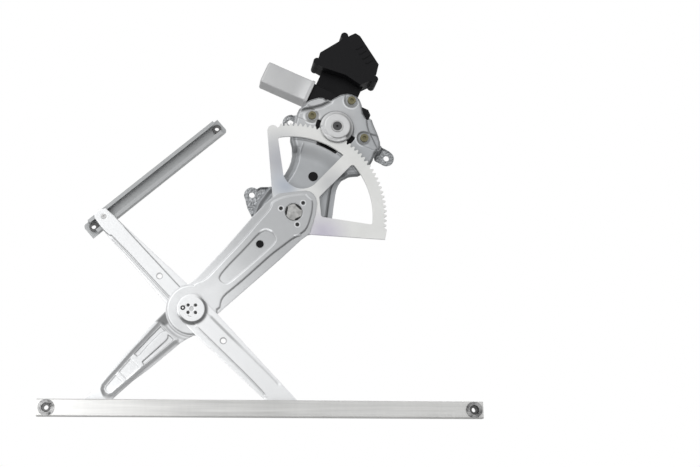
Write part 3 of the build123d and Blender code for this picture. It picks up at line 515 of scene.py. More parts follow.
class Graph:
    """The node tree of one material."""

    def __init__(self, name: str) -> None:
        """Makes an empty material with its output and its shader."""
        self.material = bpy.data.materials.new(name)
        self.material.use_nodes = True
        self.tree = self.material.node_tree
        self.tree.nodes.clear()
        output = self.tree.nodes.new("ShaderNodeOutputMaterial")
        self.shader = self.tree.nodes.new("ShaderNodeBsdfPrincipled")
        self.tree.links.new(self.shader.outputs["BSDF"], output.inputs["Surface"])

    def feed(self, socket: bpy.types.NodeSocket, value: "Signal | float | tuple") -> None:
        """Links or sets one input socket."""
        if isinstance(value, Signal):
            self.tree.links.new(value.socket, socket)
        elif isinstance(value, tuple) and len(value) == 3 and socket.type == "RGBA":
            socket.default_value = (*value, 1)
        else:
            socket.default_value = value

    def node(self, kind: str, settings: dict | None = None, inputs: dict | None = None) -> bpy.types.Node:
        """Makes a node: its settings first, then its sockets' values or links.

        Args:
            kind: The node's type.
            settings: Attributes to set.
            inputs: Values or links by socket name or number.
        Returns:
            The node.
        """
        made = self.tree.nodes.new(kind)
        for key, value in (settings or {}).items():
            setattr(made, key, value)
        for key, value in (inputs or {}).items():
            self.feed(made.inputs[key], value)
        return made

    def signal(self, kind: str, output: "str | int", settings: dict | None = None,
               inputs: dict | None = None) -> Signal:
        """One output of a new node."""
        return Signal(self, self.node(kind, settings, inputs).outputs[output])

    def maths(self, operation: str, first: "Signal | float", second: "Signal | float") -> Signal:
        """A Math node on two values."""
        return self.signal("ShaderNodeMath", 0, {"operation": operation}, {0: first, 1: second})

    def mix(self, share: Signal, first: Signal, second: Signal) -> Signal:
        """A colour between two colours."""
        return self.signal("ShaderNodeMix", 2, {"data_type": "RGBA"}, {0: share, 6: first, 7: second})

    def scaled(self, colour: "Signal | tuple", factor: Signal) -> Signal:
        """A colour times a number."""
        return self.signal("ShaderNodeVectorMath", 0, {"operation": "SCALE"}, {0: colour, 3: factor})

    def place(self, scale: Triple = (1, 1, 1), turn: float = 0) -> Signal:
        """Object coordinates, turned about Y and then stretched."""
        where = self.signal("ShaderNodeTexCoord", "Object")
        return self.signal("ShaderNodeMapping", 0, {"vector_type": "TEXTURE"}, {
            0: where, 2: (0, math.radians(-turn), 0), 3: tuple(1 / s for s in scale)})

    def nearness(self, centre: Triple, reach: float) -> Signal:
        """1 at a point, 0 from a distance on."""
        where = self.signal("ShaderNodeTexCoord", "Object")
        away = self.signal("ShaderNodeVectorMath", "Value", {"operation": "DISTANCE"}, {
            0: where, 1: centre})
        return self.signal("ShaderNodeMapRange", 0, {"interpolation_type": "SMOOTHSTEP"}, {
            0: away, 1: 0, 2: reach, 3: 1, 4: 0})

    def noise(self, where: Signal, scale: float, detail: float = 3, rough: float = 0.55) -> Signal:
        """Noise from 0 to 1 at a place."""
        return self.signal("ShaderNodeTexNoise", "Fac", None, {
            "Vector": where, "Scale": scale, "Detail": detail, "Roughness": rough})

    def attribute(self, name: str) -> tuple[Signal, Signal, Signal]:
        """The three channels of a colour attribute."""
        colour = self.signal("ShaderNodeAttribute", "Color", {"attribute_name": name})
        parts = self.node("ShaderNodeSeparateColor", None, {0: colour})
        return tuple(Signal(self, parts.outputs[i]) for i in range(3))

    def bump(self, height: Signal, strength: float, distance: float) -> Signal:
        """A normal tilted by a height."""
        return self.signal("ShaderNodeBump", "Normal", None, {
            "Strength": strength, "Distance": distance, "Height": height})

    def finish(self, colour: Signal, metal: float, rough: Signal, normal: Signal) -> Material:
        """Feeds the shader and gives the material.

        Args:
            colour: Base colour.
            metal: Share of metal.
            rough: Roughness before it is clipped.
            normal: Surface normal.
        Returns:
            The material.
        """
        fed = {"Base Color": colour, "Metallic": metal, "Roughness": rough.clipped(), "Normal": normal}
        for name, value in fed.items():
            self.feed(self.shader.inputs[name], value)
        return self.material


@dataclass(frozen=True)
class PressedZinc:
    """Zinc-plated pressed sheet: mottled grey, with painted shade in creases and on walls and painted
    highlights on ridges.
    """

    name: str
    colour: Triple
    metal: float = 0.35
    roughness: float = 0.42
    mottle: float = 0.06
    has_relief: bool = False
    wall_shade: float = 0.35
    painted_highlight: float = 0.2
    tints_and_painted_light: tuple[tuple[Triple, float, float, Triple], ...] = ()

    def make(self) -> Material:
        """Builds the material.

        Returns:
            The material.
        """
        g = Graph(self.name)
        where = g.place()
        broad = g.noise(where, 45, 2)
        fine = g.noise(where, 900, 3)
        shade = 1 + (broad - 0.5) * (2 * self.mottle) + (fine - 0.5) * 0.05
        if self.has_relief:
            ridge, crease, wall = g.attribute("relief")
            # The relief attribute paints highlights onto ridges and shade into creases and walls
            shade = shade * (1 + ridge * self.painted_highlight - crease * 0.3 - wall * self.wall_shade)
        colour = g.scaled(self.colour, shade)
        # Patches of another colour round a point: tints, painted light pools and painted shade in pits
        for centre, reach, strength, tint in self.tints_and_painted_light:
            share = g.nearness(centre, reach) * strength * (0.6 + g.noise(where, 30, 2) * 0.8)
            colour = g.mix(share.clipped(), colour, g.scaled(tint, shade))
        rough = self.roughness + (g.noise(where, 160, 2) - 0.5) * 0.16
        relief = fine * 0.15 + g.noise(where, 300, 2) * 0.25
        return g.finish(colour, self.metal, rough, g.bump(relief, 0.25, 0.0006))


@dataclass(frozen=True)
class RolledStrip:
    """Bright rolled strip: fine streaks along the rail with dull patches."""

    name: str
    colour: Triple
    turn: float = 0.0
    metal: float = 0.35
    streaks: float = 0.22
    relief: float = 0.2

    def make(self) -> Material:
        """Builds the material.

        Returns:
            The material.
        """
        g = Graph(self.name)
        along = g.place((9, 250, 250), self.turn)
        streak = g.noise(along, 1, 2, 0.6)
        ticks = g.noise(g.place((300, 40, 40), self.turn), 1, 2)
        broad = g.noise(g.place((14, 14, 14)), 1, 1)
        shade = 1 + (streak - 0.5) * self.streaks + (ticks - 0.5) * 0.07 + (broad - 0.5) * 0.14
        rough = 0.36 + (streak - 0.5) * 0.25
        normal = g.bump(streak + ticks * 0.4, self.relief, 0.0004)
        return g.finish(g.scaled(self.colour, shade), self.metal, rough, normal)


@dataclass(frozen=True)
class TurnedMetal:
    """Turned or sintered metal: small grains of tone and dull spots, which set high stand as a painted
    reflection.
    """

    name: str
    colour: Triple
    metal: float = 0.6
    roughness: float = 0.38
    speckle_and_painted_reflection: float = 0.12

    def make(self) -> Material:
        """Builds the material.

        Returns:
            The material.
        """
        g = Graph(self.name)
        where = g.place()
        grain = g.noise(where, 700, 3)
        spots = g.noise(where, 150, 2)
        shade = 1 + (grain - 0.5) * self.speckle_and_painted_reflection * 1.4 + (spots - 0.5) * self.speckle_and_painted_reflection * 2
        rough = self.roughness + (spots - 0.5) * 0.2
        return g.finish(g.scaled(self.colour, shade), self.metal, rough, g.bump(grain, 0.2, 0.0003))


@dataclass(frozen=True)
class MouldedPlastic:
    """Moulded plastic: spark-eroded grain, slight sheen on rubbed places."""

    name: str
    colour: Triple
    roughness: float = 0.5
    grain: float = 0.3
    specular: float = 0.15

    def make(self) -> Material:
        """Builds the material.

        Returns:
            The material.
        """
        g = Graph(self.name)
        g.shader.inputs["Specular IOR Level"].default_value = self.specular
        where = g.place()
        fine = g.noise(where, 1400, 2)
        rubbed = g.noise(where, 60, 3)
        shade = 1 + (rubbed - 0.5) * 0.35 + (fine - 0.5) * 0.15
        rough = self.roughness + (rubbed - 0.5) * 0.2
        return g.finish(g.scaled(self.colour, shade), 0, rough, g.bump(fine, self.grain, 0.0003))


Recipe = PressedZinc | RolledStrip | TurnedMetal | MouldedPlastic


# Sub-assemblies

@dataclass
class LiftArm:
    """The long pressed arm from the sector to the left glass roller."""

    front: float = 21.5
    sheet: float = 1.7
    relief: float = 1.2
    wall: float = 2.2
    pad: float = 28.7
    eye: float = 10.2
    upper: float = 225.7
    lower: float = 226.6
    rivets: tuple[Pair, ...] = ((10.7, 10.7), (-14.6, 3.9), (3.9, -14.6))
    dimple: tuple[Pair, Pair] = ((1.2, -27.6), (6.6, -26.2))

    def head(self) -> tuple[Pair, ...]:
        """Outline of the head and the upper bar."""
        return (
            (-24.2, 16.4), (-17, 21.6), (-0.2, 24), (14, 25.7), (19, 24.8), (23, 21.8), (25.9, 16.6),
            (26.9, 10.9), (24.9, -1.8), (21.6, -13.3), (18.5, -22.8), (15.8, -26.4), (8.6, -31.7),
            (-16, -55.2), (-85.6, -117.9), (-118, -145), (-120, -86), (-108.7, -77.1), (-78, -43.4),
            (-47.3, -6.8), (-34.1, 7.6), (-26.5, 14.8))

    def foot(self) -> tuple[Pair, ...]:
        """Outline of the lower bar."""
        return (
            (-110, -112), (-108.4, -140.2), (-119.3, -145.9), (-125.5, -150), (-133.5, -157),
            (-158, -177.9), (-176.2, -191.9), (-203, -216.5), (-207, -231), (-228, -231), (-229.5, -215),
            (-214, -196.5), (-190.5, -168.3), (-177.4, -154.2), (-162.9, -136.6), (-152.9, -125.6),
            (-141.8, -114.4))

    def outline(self, x: Grid, y: Grid) -> Grid:
        """Union of bar, pad and lower arm, less the eye, the plug hole and what the rail hides."""
        shape = np.minimum(polygon(x, y, self.head()), polygon(x, y, self.foot()))
        shape = np.minimum(shape, disc(x, y, CROSSING, self.pad))
        holes = (((0, 0), self.eye), ((-38.4, -37.7), 3.5), (CROSSING, 10.2), (LEFT_ROLLER, STUD_HOLE))
        return np.maximum(drilled(shape, x, y, holes), RAIL_EDGE - y)

    def raised_band(self, x: Grid, y: Grid) -> Grid:
        """Signed distance of the raised middle: head, band and pad."""
        band = rounded((
            (-24.9, 7.6), (-24.5, 10.9), (-18, 14.6), (-10.9, 17.5), (0, 19.6), (9.5, 20.9), (13.6, 20.6),
            (18, 17.6), (21.4, 13.4), (21, 4), (18.6, -7), (14, -20), (6, -26), (-4.1, -32.4),
            (-13.4, -39.9), (-25.3, -48.9), (-41, -63.6), (-56.6, -78.1), (-70.6, -90.2), (-78.3, -96.6),
            (-82.1, -102.9), (-83.5, -114), (-113, -113), (-113, -86.5), (-108, -82.6), (-102.5, -81),
            (-96.3, -77), (-86.3, -65.8), (-72.4, -50.4), (-56.8, -33.3), (-41, -13.6), (-31.5, -2.8),
            (-27.5, 2.2)), 2)
        return np.minimum(polygon(x, y, band), disc(x, y, CROSSING, self.pad - 1.5))

    def pocket(self, x: Grid, y: Grid) -> Grid:
        """Signed distance of the long pocket in the upper bar."""
        return polygon(x, y, rounded((
            (-84.3, -79.3), (-83.1, -73.7), (-72.3, -60.8), (-56.7, -44.6), (-42.6, -28.2), (-33.9, -20.8),
            (-26, -22.3), (-20.5, -27.9), (-20.5, -35.1), (-29.2, -44.1), (-48.8, -62.1), (-64.4, -75.8),
            (-72.2, -82.7), (-78.4, -84.2)), 2))

    def panel(self, x: Grid, y: Grid) -> Grid:
        """Signed distance of the raised panel in the lower bar."""
        return polygon(x, y, (
            (-147.2, -130.5), (-142.5, -136), (-136.5, -141.2), (-130.5, -146.6), (-134.2, -148.4),
            (-164.9, -174.8), (-183, -191.2), (-194.3, -200.6), (-197.6, -204.2), (-201.6, -205.6),
            (-205, -204), (-206.3, -200.8), (-205.4, -197.6), (-200, -190.9), (-192.5, -182.2),
            (-175.1, -161.6), (-158.8, -143.6)))

    def slots(self, x: Grid, y: Grid) -> Grid:
        """Signed distance of the two slots on either side of the panel's tongue."""
        left = polygon(x, y, (
            (-147.2, -132), (-144.6, -134.8), (-142.4, -137.4), (-145, -138.2), (-147.8, -139.9),
            (-152.7, -144.9), (-161.8, -154.4), (-169, -163.3), (-171.9, -165.4), (-175.4, -162.6),
            (-158.8, -144.2)))
        right = polygon(x, y, (
            (-139.2, -141.4), (-137.4, -142.3), (-133.2, -146), (-133.8, -148), (-164.6, -174.4),
            (-166.6, -171.2), (-141.2, -147.6), (-139.4, -144.6)))
        return np.minimum(left, right)

    def shade(self, x: Grid, y: Grid) -> Marks:
        """Painted shade in the drawn walls and painted highlights on the ridges."""
        panel = self.panel(x, y)
        run, across = from_crossing(x, y, self.lower)
        right = ramp(across, -6, 0)
        outside = disc(x, y, CROSSING, self.pad)
        away = ramp(outside, -0.5, 1)
        band = ramp(panel, -0.4, 0.5) * fall(panel, 3.6 + right, 5.2 + 1.6 * right) * (1 - 0.42 * right)
        band = band * away * (1 - ramp(36.5 - run, 0, 1.5) * ramp(across, -13.5, -11.5))
        corner = polygon(x, y, (
            (-141.8, -113), (-136, -122), (-137.6, -129.5), (-142.6, -132.6), (-147.4, -131),
            (-154, -126.2)))
        collar = 0.55 * line(outside - 1.2, 0.4, 1.4) + 0.4 * line(outside - 4.8, 0.6, 2)
        dark = most(band, away * fall(corner, -3, 1.2),
                    collar * away * ramp(run, 8, 16) * ramp(panel, -0.5, 0.5),
                    0.7 * line(self.slots(x, y), 0.25, 1))
        head = line(self.raised_band(x, y) - 0.4, 0.3, 1.4)
        edge = line(self.pocket(x, y) - 0.6, 0.5, 1.5)
        light = most(1.2 * (head * ramp(y - 0.35 * x, 12, 16) * ramp(y, 5, 9)),
                     2.4 * fall(capsule(x, y, (14.2, 20.4), (20.4, 14.8), 1, 0.7), -0.6, 0.9),
                     2.4 * fall(capsule(x, y, *self.dimple, 0.7, 0.7), -0.5, 0.7),
                     3.6 * edge * ramp(x + y, -66, -56) * ramp(y - x, -1, 5),
                     *(1.3 * line(disc(x, y, rivet, 2.9), 0.4, 1) for rivet in self.rivets))
        return dark, light

    def height(self, x: Grid, y: Grid) -> Grid:
        """Front face: raised band and inner panel, lowered flanges, pocket, slots and steps."""
        low = self.front - self.relief
        half = self.wall / 2
        up = fall(self.raised_band(x, y), -half, half)
        panel = fall(self.panel(x, y), -0.4, 4.2)
        away = ramp(disc(x, y, CROSSING, self.pad), -1, 1.5)
        level = low + self.relief * np.maximum(up, panel * away)
        level = level - 0.8 * self.relief * fall(self.pocket(x, y), -half, half)
        level = level - 0.5 * fall(self.slots(x, y), -0.6, 0.6)
        run, _ = from_crossing(x, y, self.lower)
        step = ramp(run, 84.2, 85.6) - ramp(run, 103.2, 104.6) + ramp(run, 107.8, 109.2)
        level = level - 0.4 * step * fall(self.panel(x, y), -1.4, -0.2)
        return level + 0.5 * fall(capsule(x, y, *self.dimple, 1.5, 1.5), -1, 0.6)

    def build(self, finish: Material) -> None:
        """Builds and dresses the arm."""
        piece = PressedSheet("lift_arm_stamping", (0, 0), self.upper, (-36, 326, -36, 36), self.outline,
                             self.height, self.sheet, 0.6, shade=self.shade, wall_weight=0.6).build()
        seat(piece, finish, "lift_arm_and_sector", Finish.BRIGHT, "lift_arm")


@dataclass
class CrossingArm:
    """The two halves of the crossing arm on either side of the lift arm."""

    front: float = 24.0
    front_sheet: float = 1.7
    rear: float = 18.2
    rear_sheet: float = 2.4
    hub_rise: float = 1.8
    hub_radius: float = 13.6
    front_angle: float = -46.6
    rear_angle: float = 133.6
    front_hole: Pair = (49.0, 1.5)
    rear_hole: Pair = (52.4, 0.2)
    hole_radius: float = 2.7
    boss: float = 2.6
    pits: tuple[Pair, ...] = ((-4.0, -4.0), (-4.0, 4.0), (4.0, -4.0), (4.0, 4.0))
    pit_radius: float = 1.7
    step: float = 0.42

    def hole(self, place: Pair, angle: float) -> Pair:
        """Middle of a half's hole."""
        return along_arm((place,), angle, CROSSING)[0]

    def front_outline(self, x: Grid, y: Grid) -> Grid:
        """Union of the hub disc and the tapering bar, less its holes and what the rail hides."""
        bar = polygon(x, y, along_arm((
            (0, 16.5), (23, 17), (160, 16), (162, 4), (158, -7.4), (128, -9), (21, -16.5), (0, -16.5)),
            self.front_angle, CROSSING))
        shape = np.minimum(bar, disc(x, y, CROSSING, 16.5))
        hole = self.hole(self.front_hole, self.front_angle)
        holes = ((hole, self.hole_radius), (RIGHT_ROLLER, STUD_HOLE))
        return np.maximum(drilled(shape, x, y, holes), RAIL_EDGE - y)

    def front_channel(self, x: Grid, y: Grid) -> Grid:
        """Signed distance of the front half's raised middle."""
        return polygon(x, y, rounded(along_arm((
            (10, 8.2), (30, 8), (124, 12.4), (130, 9), (126, -7.6), (121, -3.4), (30, -7.9),
            (10, -8.6)), self.front_angle, CROSSING), 2))

    def front_height(self, x: Grid, y: Grid) -> Grid:
        """Front half: raised hub, channel between two ridge lines and a plain end."""
        bar = self.front_channel(x, y)
        inside = fall(disc(x, y, CROSSING, 126), -2, 2)
        level = self.front - 0.7 * (ramp(bar, -0.2, 2.4) * inside)
        rise = self.front + self.hub_rise
        drop = ramp(disc(x, y, CROSSING, self.hub_radius), -0.2, 4.2) * self.bar_side(x, y)
        level = rise + (level - rise) * drop
        for across, up in self.pits:
            pit = disc(x, y, (CROSSING[0] + across, CROSSING[1] + up), self.pit_radius)
            level = level - 0.5 * fall(pit, -0.5, 0.5)
        return level - 0.3 * fall(disc(x, y, CROSSING, self.boss), -0.6, 0.6)

    def bar_side(self, x: Grid, y: Grid) -> Grid:
        """1 on the bar's side of the hub, 0 on the other side."""
        return ramp(from_crossing(x, y, self.front_angle)[0], -9, 2)

    def front_shade(self, x: Grid, y: Grid) -> Marks:
        """Painted shade in the drawn wall round the hub, in its pits and round the locating pin."""
        hub = disc(x, y, CROSSING, self.hub_radius)
        pin = disc(x, y, (CROSSING[0] - 10, CROSSING[1] + 1.2), 1.9)
        bar = self.front_channel(x, y)
        along, across = from_crossing(x, y, self.front_angle)
        beyond = ramp(along, 17, 22) * fall(along, 120, 126)
        ring = disc(x, y, self.hole(self.front_hole, self.front_angle), 3.3)
        ticks = ((polar(8.6, angle, CROSSING), polar(8.6, angle + 22, CROSSING)) for angle in (152, 242))
        dark = most(ramp(hub, -0.4, 0.5) * fall(hub, 1.4, 5.8) * self.bar_side(x, y),
                    1.5 * line(pin, 0.5, 1.1), 0.4 * fall(disc(x, y, CROSSING, self.boss), -1, 0.4),
                    0.75 * line(bar - 0.3, 0.25, 0.9) * beyond * (across < 0),
                    0.5 * line(bar - 1.6, 0.8, 2.2) * beyond * (across > 0)
                    * (1 - 0.7 * ramp(along, 50, 80)),
                    0.8 * line(ring, 0.2, 0.9),
                    *(0.6 * fall(capsule(x, y, *ends, 0.2, 0.2), 0, 0.5) for ends in ticks))
        return dark, np.zeros_like(dark)

    def rear_outline(self, x: Grid, y: Grid) -> Grid:
        """Union of the round end under the hub and the tapering bar, less its holes."""
        bar = polygon(x, y, along_arm((
            (0, 16), (125, 11.4), (130, 11), (151, 8.4), (154, 6.4), (155, 0), (150.5, -7.8), (131, -9.4),
            (26, -16.4), (0, -16)), self.rear_angle, CROSSING))
        hole = self.hole(self.rear_hole, self.rear_angle)
        holes = ((hole, self.hole_radius), (SHORT_ROLLER, STUD_HOLE))
        return drilled(np.minimum(bar, disc(x, y, CROSSING, 16)), x, y, holes)

    def rear_channel(self, x: Grid, y: Grid) -> Grid:
        """Signed distance of the rear half's raised middle."""
        return polygon(x, y, rounded(along_arm((
            (0, 7.2), (122, 6.4), (126, 10), (156, 10), (156, -10), (126, -8), (26, -7.2),
            (0, -7.2)), self.rear_angle, CROSSING), 1))

    def rear_shade(self, x: Grid, y: Grid) -> Marks:
        """Painted shade in lines beside the raised middle and round the hole."""
        middle = self.rear_channel(x, y)
        along, across = from_crossing(x, y, self.rear_angle)
        beyond = ramp(along, 12, 18) * fall(along, 118, 124)
        ring = disc(x, y, self.hole(self.rear_hole, self.rear_angle), 3.3)
        dark = most(line(middle - 0.4, 0.25, 0.9) * beyond * (0.35 + 0.4 * (across < 0)),
                    line(across - 9, 0.25, 0.9) * beyond * 0.3, 0.6 * line(ring, 0.2, 0.9))
        return dark, np.zeros_like(dark)

    def rear_height(self, x: Grid, y: Grid) -> Grid:
        """Rear half: a raised middle with a double line on its left, flanges lower by a step."""
        level = self.rear - 0.8 * ramp(self.rear_channel(x, y), -0.2, 1.5)
        start, end = along_arm(((20, 10.6), (119, 9.8)), self.rear_angle, CROSSING)
        return level + 0.5 * fall(capsule(x, y, start, end, 0.9, 0.9), -0.8, 0.6)

    def build(self, finish: Material) -> None:
        """Builds and dresses both halves."""
        for name, angle, reach, fields, slot, node in (
                ("front_half_stamping", self.front_angle, (-20, 168, -22, 22),
                 (self.front_outline, self.front_height, self.front_sheet, self.front_shade),
                 Finish.BRIGHT, "cross_arm_front"),
                ("rear_half_stamping", self.rear_angle, (-20, 160, -20, 20),
                 (self.rear_outline, self.rear_height, self.rear_sheet, self.rear_shade),
                 Finish.GALVANISED, "cross_arm_rear")):
            outline, height, sheet, shade = fields
            piece = PressedSheet(name, CROSSING, angle, reach, outline, height, sheet, self.step,
                                 shade=shade).build()
            seat(piece, finish, "crossing_arm", slot, node)


@dataclass
class BasePlate:
    """The pressed plate that carries the motor and the sector's pivot."""

    plateau: float = 14.0
    panel: float = 11.0
    sheet: float = 1.9
    tab_level: float = 2.0
    tab_radius: float = 9.0
    bolt: float = 3.3
    leg_half: float = 8.8
    window: Pair = (98.0, 118.0)
    slit: Pair = (87.6, 97.0)
    tabs: tuple[Pair, ...] = ((-46.2, 24.4), (-1.2, 113.2), (111.1, 71.6))
    leg_ends: tuple[Pair, ...] = ((-33, 16), (14, 108), (90, 82))
    leg_starts: tuple[Pair, ...] = ((-43, 22), (-1, 111), (109, 73))

    def body(self, x: Grid, y: Grid) -> Grid:
        """Signed distance of the plate without its tabs."""
        return polygon(x, y, rounded((
            (62.5, 148.3), (74.3, 146.1), (81, 139.5), (84.4, 117.3), (93.4, 118.2), (95.4, 111),
            (101.1, 96.8), (103.8, 87), (102.3, 78.5), (97, 76.5), (92, 62), (80.7, 46.7), (59.4, 45.1),
            (51.7, 34.2), (48.9, 19.9), (44.8, -9.3), (38, -19), (12, -24), (-22, -22), (-38, -10),
            (-43, 0.5), (-40.8, 7.3), (-38.3, 14.2), (-33.2, 21.2), (-28.1, 28.7), (-23.6, 33.2), (-17, 39),
            (-9.7, 46.1), (-1.9, 60.6), (0.7, 75.1), (-3.7, 90.7), (2.2, 105.4), (4.4, 114.4), (6.7, 125.3),
            (14.4, 131.8), (18.8, 136.9), (35.2, 141.9), (40.8, 136.6)), 1))

    def legs(self, x: Grid, y: Grid) -> Grid:
        """Signed distance of the three tabs with their legs."""
        shape = np.full(x.shape, FAR)
        for start, end, tab in zip(self.leg_starts, self.leg_ends, self.tabs):
            angle = math.degrees(math.atan2(end[1] - start[1], end[0] - start[0]))
            run = math.dist(start, end)
            half = self.leg_half
            leg = polygon(x, y, along_arm(((0, half), (run, half), (run, -half), (0, -half)), angle, start))
            shape = np.minimum(shape, np.minimum(leg, disc(x, y, tab, self.tab_radius)))
        ear = polygon(x, y, (
            (-24, 34), (-36.9, 33.2), (-45.6, 29), (-50.8, 25.6), (-54, 20.9), (-52.8, 14), (-51.2, 8.7),
            (-48.2, 2.4), (-44.5, -5), (-30, -8)))
        return np.minimum(shape, ear)

    def outline(self, x: Grid, y: Grid) -> Grid:
        """Union of plate and tabs, less bolt holes, windows, the rim slit and the bush hole."""
        shape = np.minimum(self.body(x, y), self.legs(x, y))
        shape = drilled(shape, x, y, [(tab, self.bolt) for tab in self.tabs])
        shape = drilled(shape, x, y, ((PINION, 6.9), ((0, 0), 6.2), ((23.7, 45.2), 4.5)))
        away = np.hypot(x, y)
        near, far = self.window
        ring = most(near - away, away - far, disc(x, y, PINION, 24.5), -disc(x, y, PINION, 9.5))
        near, far = self.slit
        slit = most(near - away, away - far, disc(x, y, polar(92.3, 63.6), 13.5))
        return most(shape, -ring, -slit)

    def height(self, x: Grid, y: Grid) -> Grid:
        """Front face: plateau and panel with a curved step, rolled edges, screw pads and low tabs."""
        away = np.hypot(x, y)
        body = self.body(x, y)
        level = self.panel + (self.plateau - self.panel) * ramp(away, 68, 86.5)
        lower = fall(away, 74, 82)
        level = level - 5 * ramp(body, -9.5, -5.4) * lower
        level = level - 2.4 * ramp(body, -3, -0.2) * (1 - lower)
        level = level + 0.5 * line(away - 90, 0.4, 1.6) * ramp(-body, 2, 6)
        gusset = polygon(x, y, rounded((
            (85.6, 121), (99, 122), (108, 87), (103, 74), (97.6, 80.5), (92.6, 92.5), (86.8, 103.6)), 1))
        level = level - 2.2 * fall(gusset, -2, 0.4)
        shelf = polygon(x, y, (
            (0, 124), (14.4, 127.6), (24.7, 129.4), (34.2, 132.3), (43, 137.2), (36, 146), (4, 140)))
        level = level + 2.2 * fall(shelf, -0.4, 1.6)
        level = level - 0.7 * line(shelf - 3.4, 0.3, 2.2)
        for screw, way in zip(SCREWS, ((0.25, 1), (-0.9, 0.5), (1, -0.35))):
            pad = capsule(x, y, screw, (screw[0] + 12 * way[0], screw[1] + 12 * way[1]), 8.6, 10)
            level = level - 1.2 * fall(pad, -1.6, 0.8)
        level = level - 0.9 * fall(disc(x, y, PINION, 21), -1.6, 0.8)
        level = level + 0.4 * fall(capsule(x, y, (5, 62), (12, 84), 1, 1), -1, 0.6)
        low = self.tab_level + 0.5 * spangle(x, y, 1.7, 5) + 0.3 * spangle(x, y, 0.9, 9)
        low = low + 2.2 * line(self.legs(x, y), 0.2, 1.6) * self.upper_side(x, y)
        return low + (level - low) * (1 - ramp(body, -0.4, 3.4) * (self.legs(x, y) < 3))

    def upper_side(self, x: Grid, y: Grid) -> Grid:
        """1 on the turned-up upper edge of each tab's leg, 0 on its other edges."""
        side = np.zeros(x.shape)
        for start, end in zip(self.leg_starts, self.leg_ends):
            run = math.dist(start, end)
            to_x = x - start[0]
            to_y = y - start[1]
            run_x = end[0] - start[0]
            run_y = end[1] - start[1]
            across = (to_x * -run_y + to_y * run_x) / run
            along = (to_x * run_x + to_y * run_y) / run
            upward = across * math.copysign(1, run_x)
            side = np.maximum(side, ramp(upward, 5, 8) * ramp(along, -6, 0) * (along < run + 2))
        return side

    def shade(self, x: Grid, y: Grid) -> Marks:
        """Spangle on the tabs; painted shade on the rolled rims, along the neck lines and round the screws;
        painted highlights inside the rolled rim and as rings round the screws.
        """
        body = self.body(x, y)
        away = ramp(body, 0.5, 3)
        grain = spangle(x, y, 1.3, 21) + 0.6 * spangle(x, y, 2.6, 22)
        left = fall(x, -24, -16) * fall(y, 34, 40)
        rolled = fall(x, 4, 10) * ramp(y, 38, 46) * fall(y, 96, 104)
        upper = ramp(y + 0.5 * x, 108, 114)
        neck = ramp(x, 48, 56) * fall(y, 60, 68) * ramp(y, 40, 43)
        dark = most(away * np.clip(0.35 + grain, 0, 1),
                    1.3 * (ramp(body, -6.5, -3) * fall(body, 0, 1.2) * left),
                    0.8 * ramp(body, -6.2, -4.8) * fall(body, -0.8, 0.8) * rolled,
                    0.55 * ramp(body, -4.6, -1.6) * fall(body, -0.3, 0.8) * upper,
                    *(weight * line(body + depth, 0.5, 1.5) * neck
                      for depth, weight in ((0.9, 0.9), (4.2, 0.8), (7.6, 0.6))),
                    *(0.7 * line(disc(x, y, screw, 6.4), 0.4, 1.5) for screw in SCREWS))
        light = most(away * np.clip(grain - 0.35, 0, 1), 0.8 * line(body + 7, 0.4, 1.1) * rolled)
        # Painted highlight rings on the lower-left side of each screw
        for screw in SCREWS:
            side = np.clip(-(x - screw[0] + y - screw[1]) / 11, 0, 1)
            light = most(light, 1.1 * line(disc(x, y, screw, 9.4), 0.6, 1.7) * side)
        return dark, light

    def build(self, finish: Material, cap_finish: Material) -> None:
        """Builds and dresses the plate and its boss."""
        piece = PressedSheet("base_plate_stamping", (0, 0), 0, (-58, 122, -27, 151),
                             self.outline, self.height, self.sheet, 0.6, shade=self.shade).build()
        seat(piece, finish, "motor_and_plate", Finish.GALVANISED, "base_plate")
        seat(PinionBoss().build(), cap_finish, "motor_and_plate", Finish.GALVANISED)


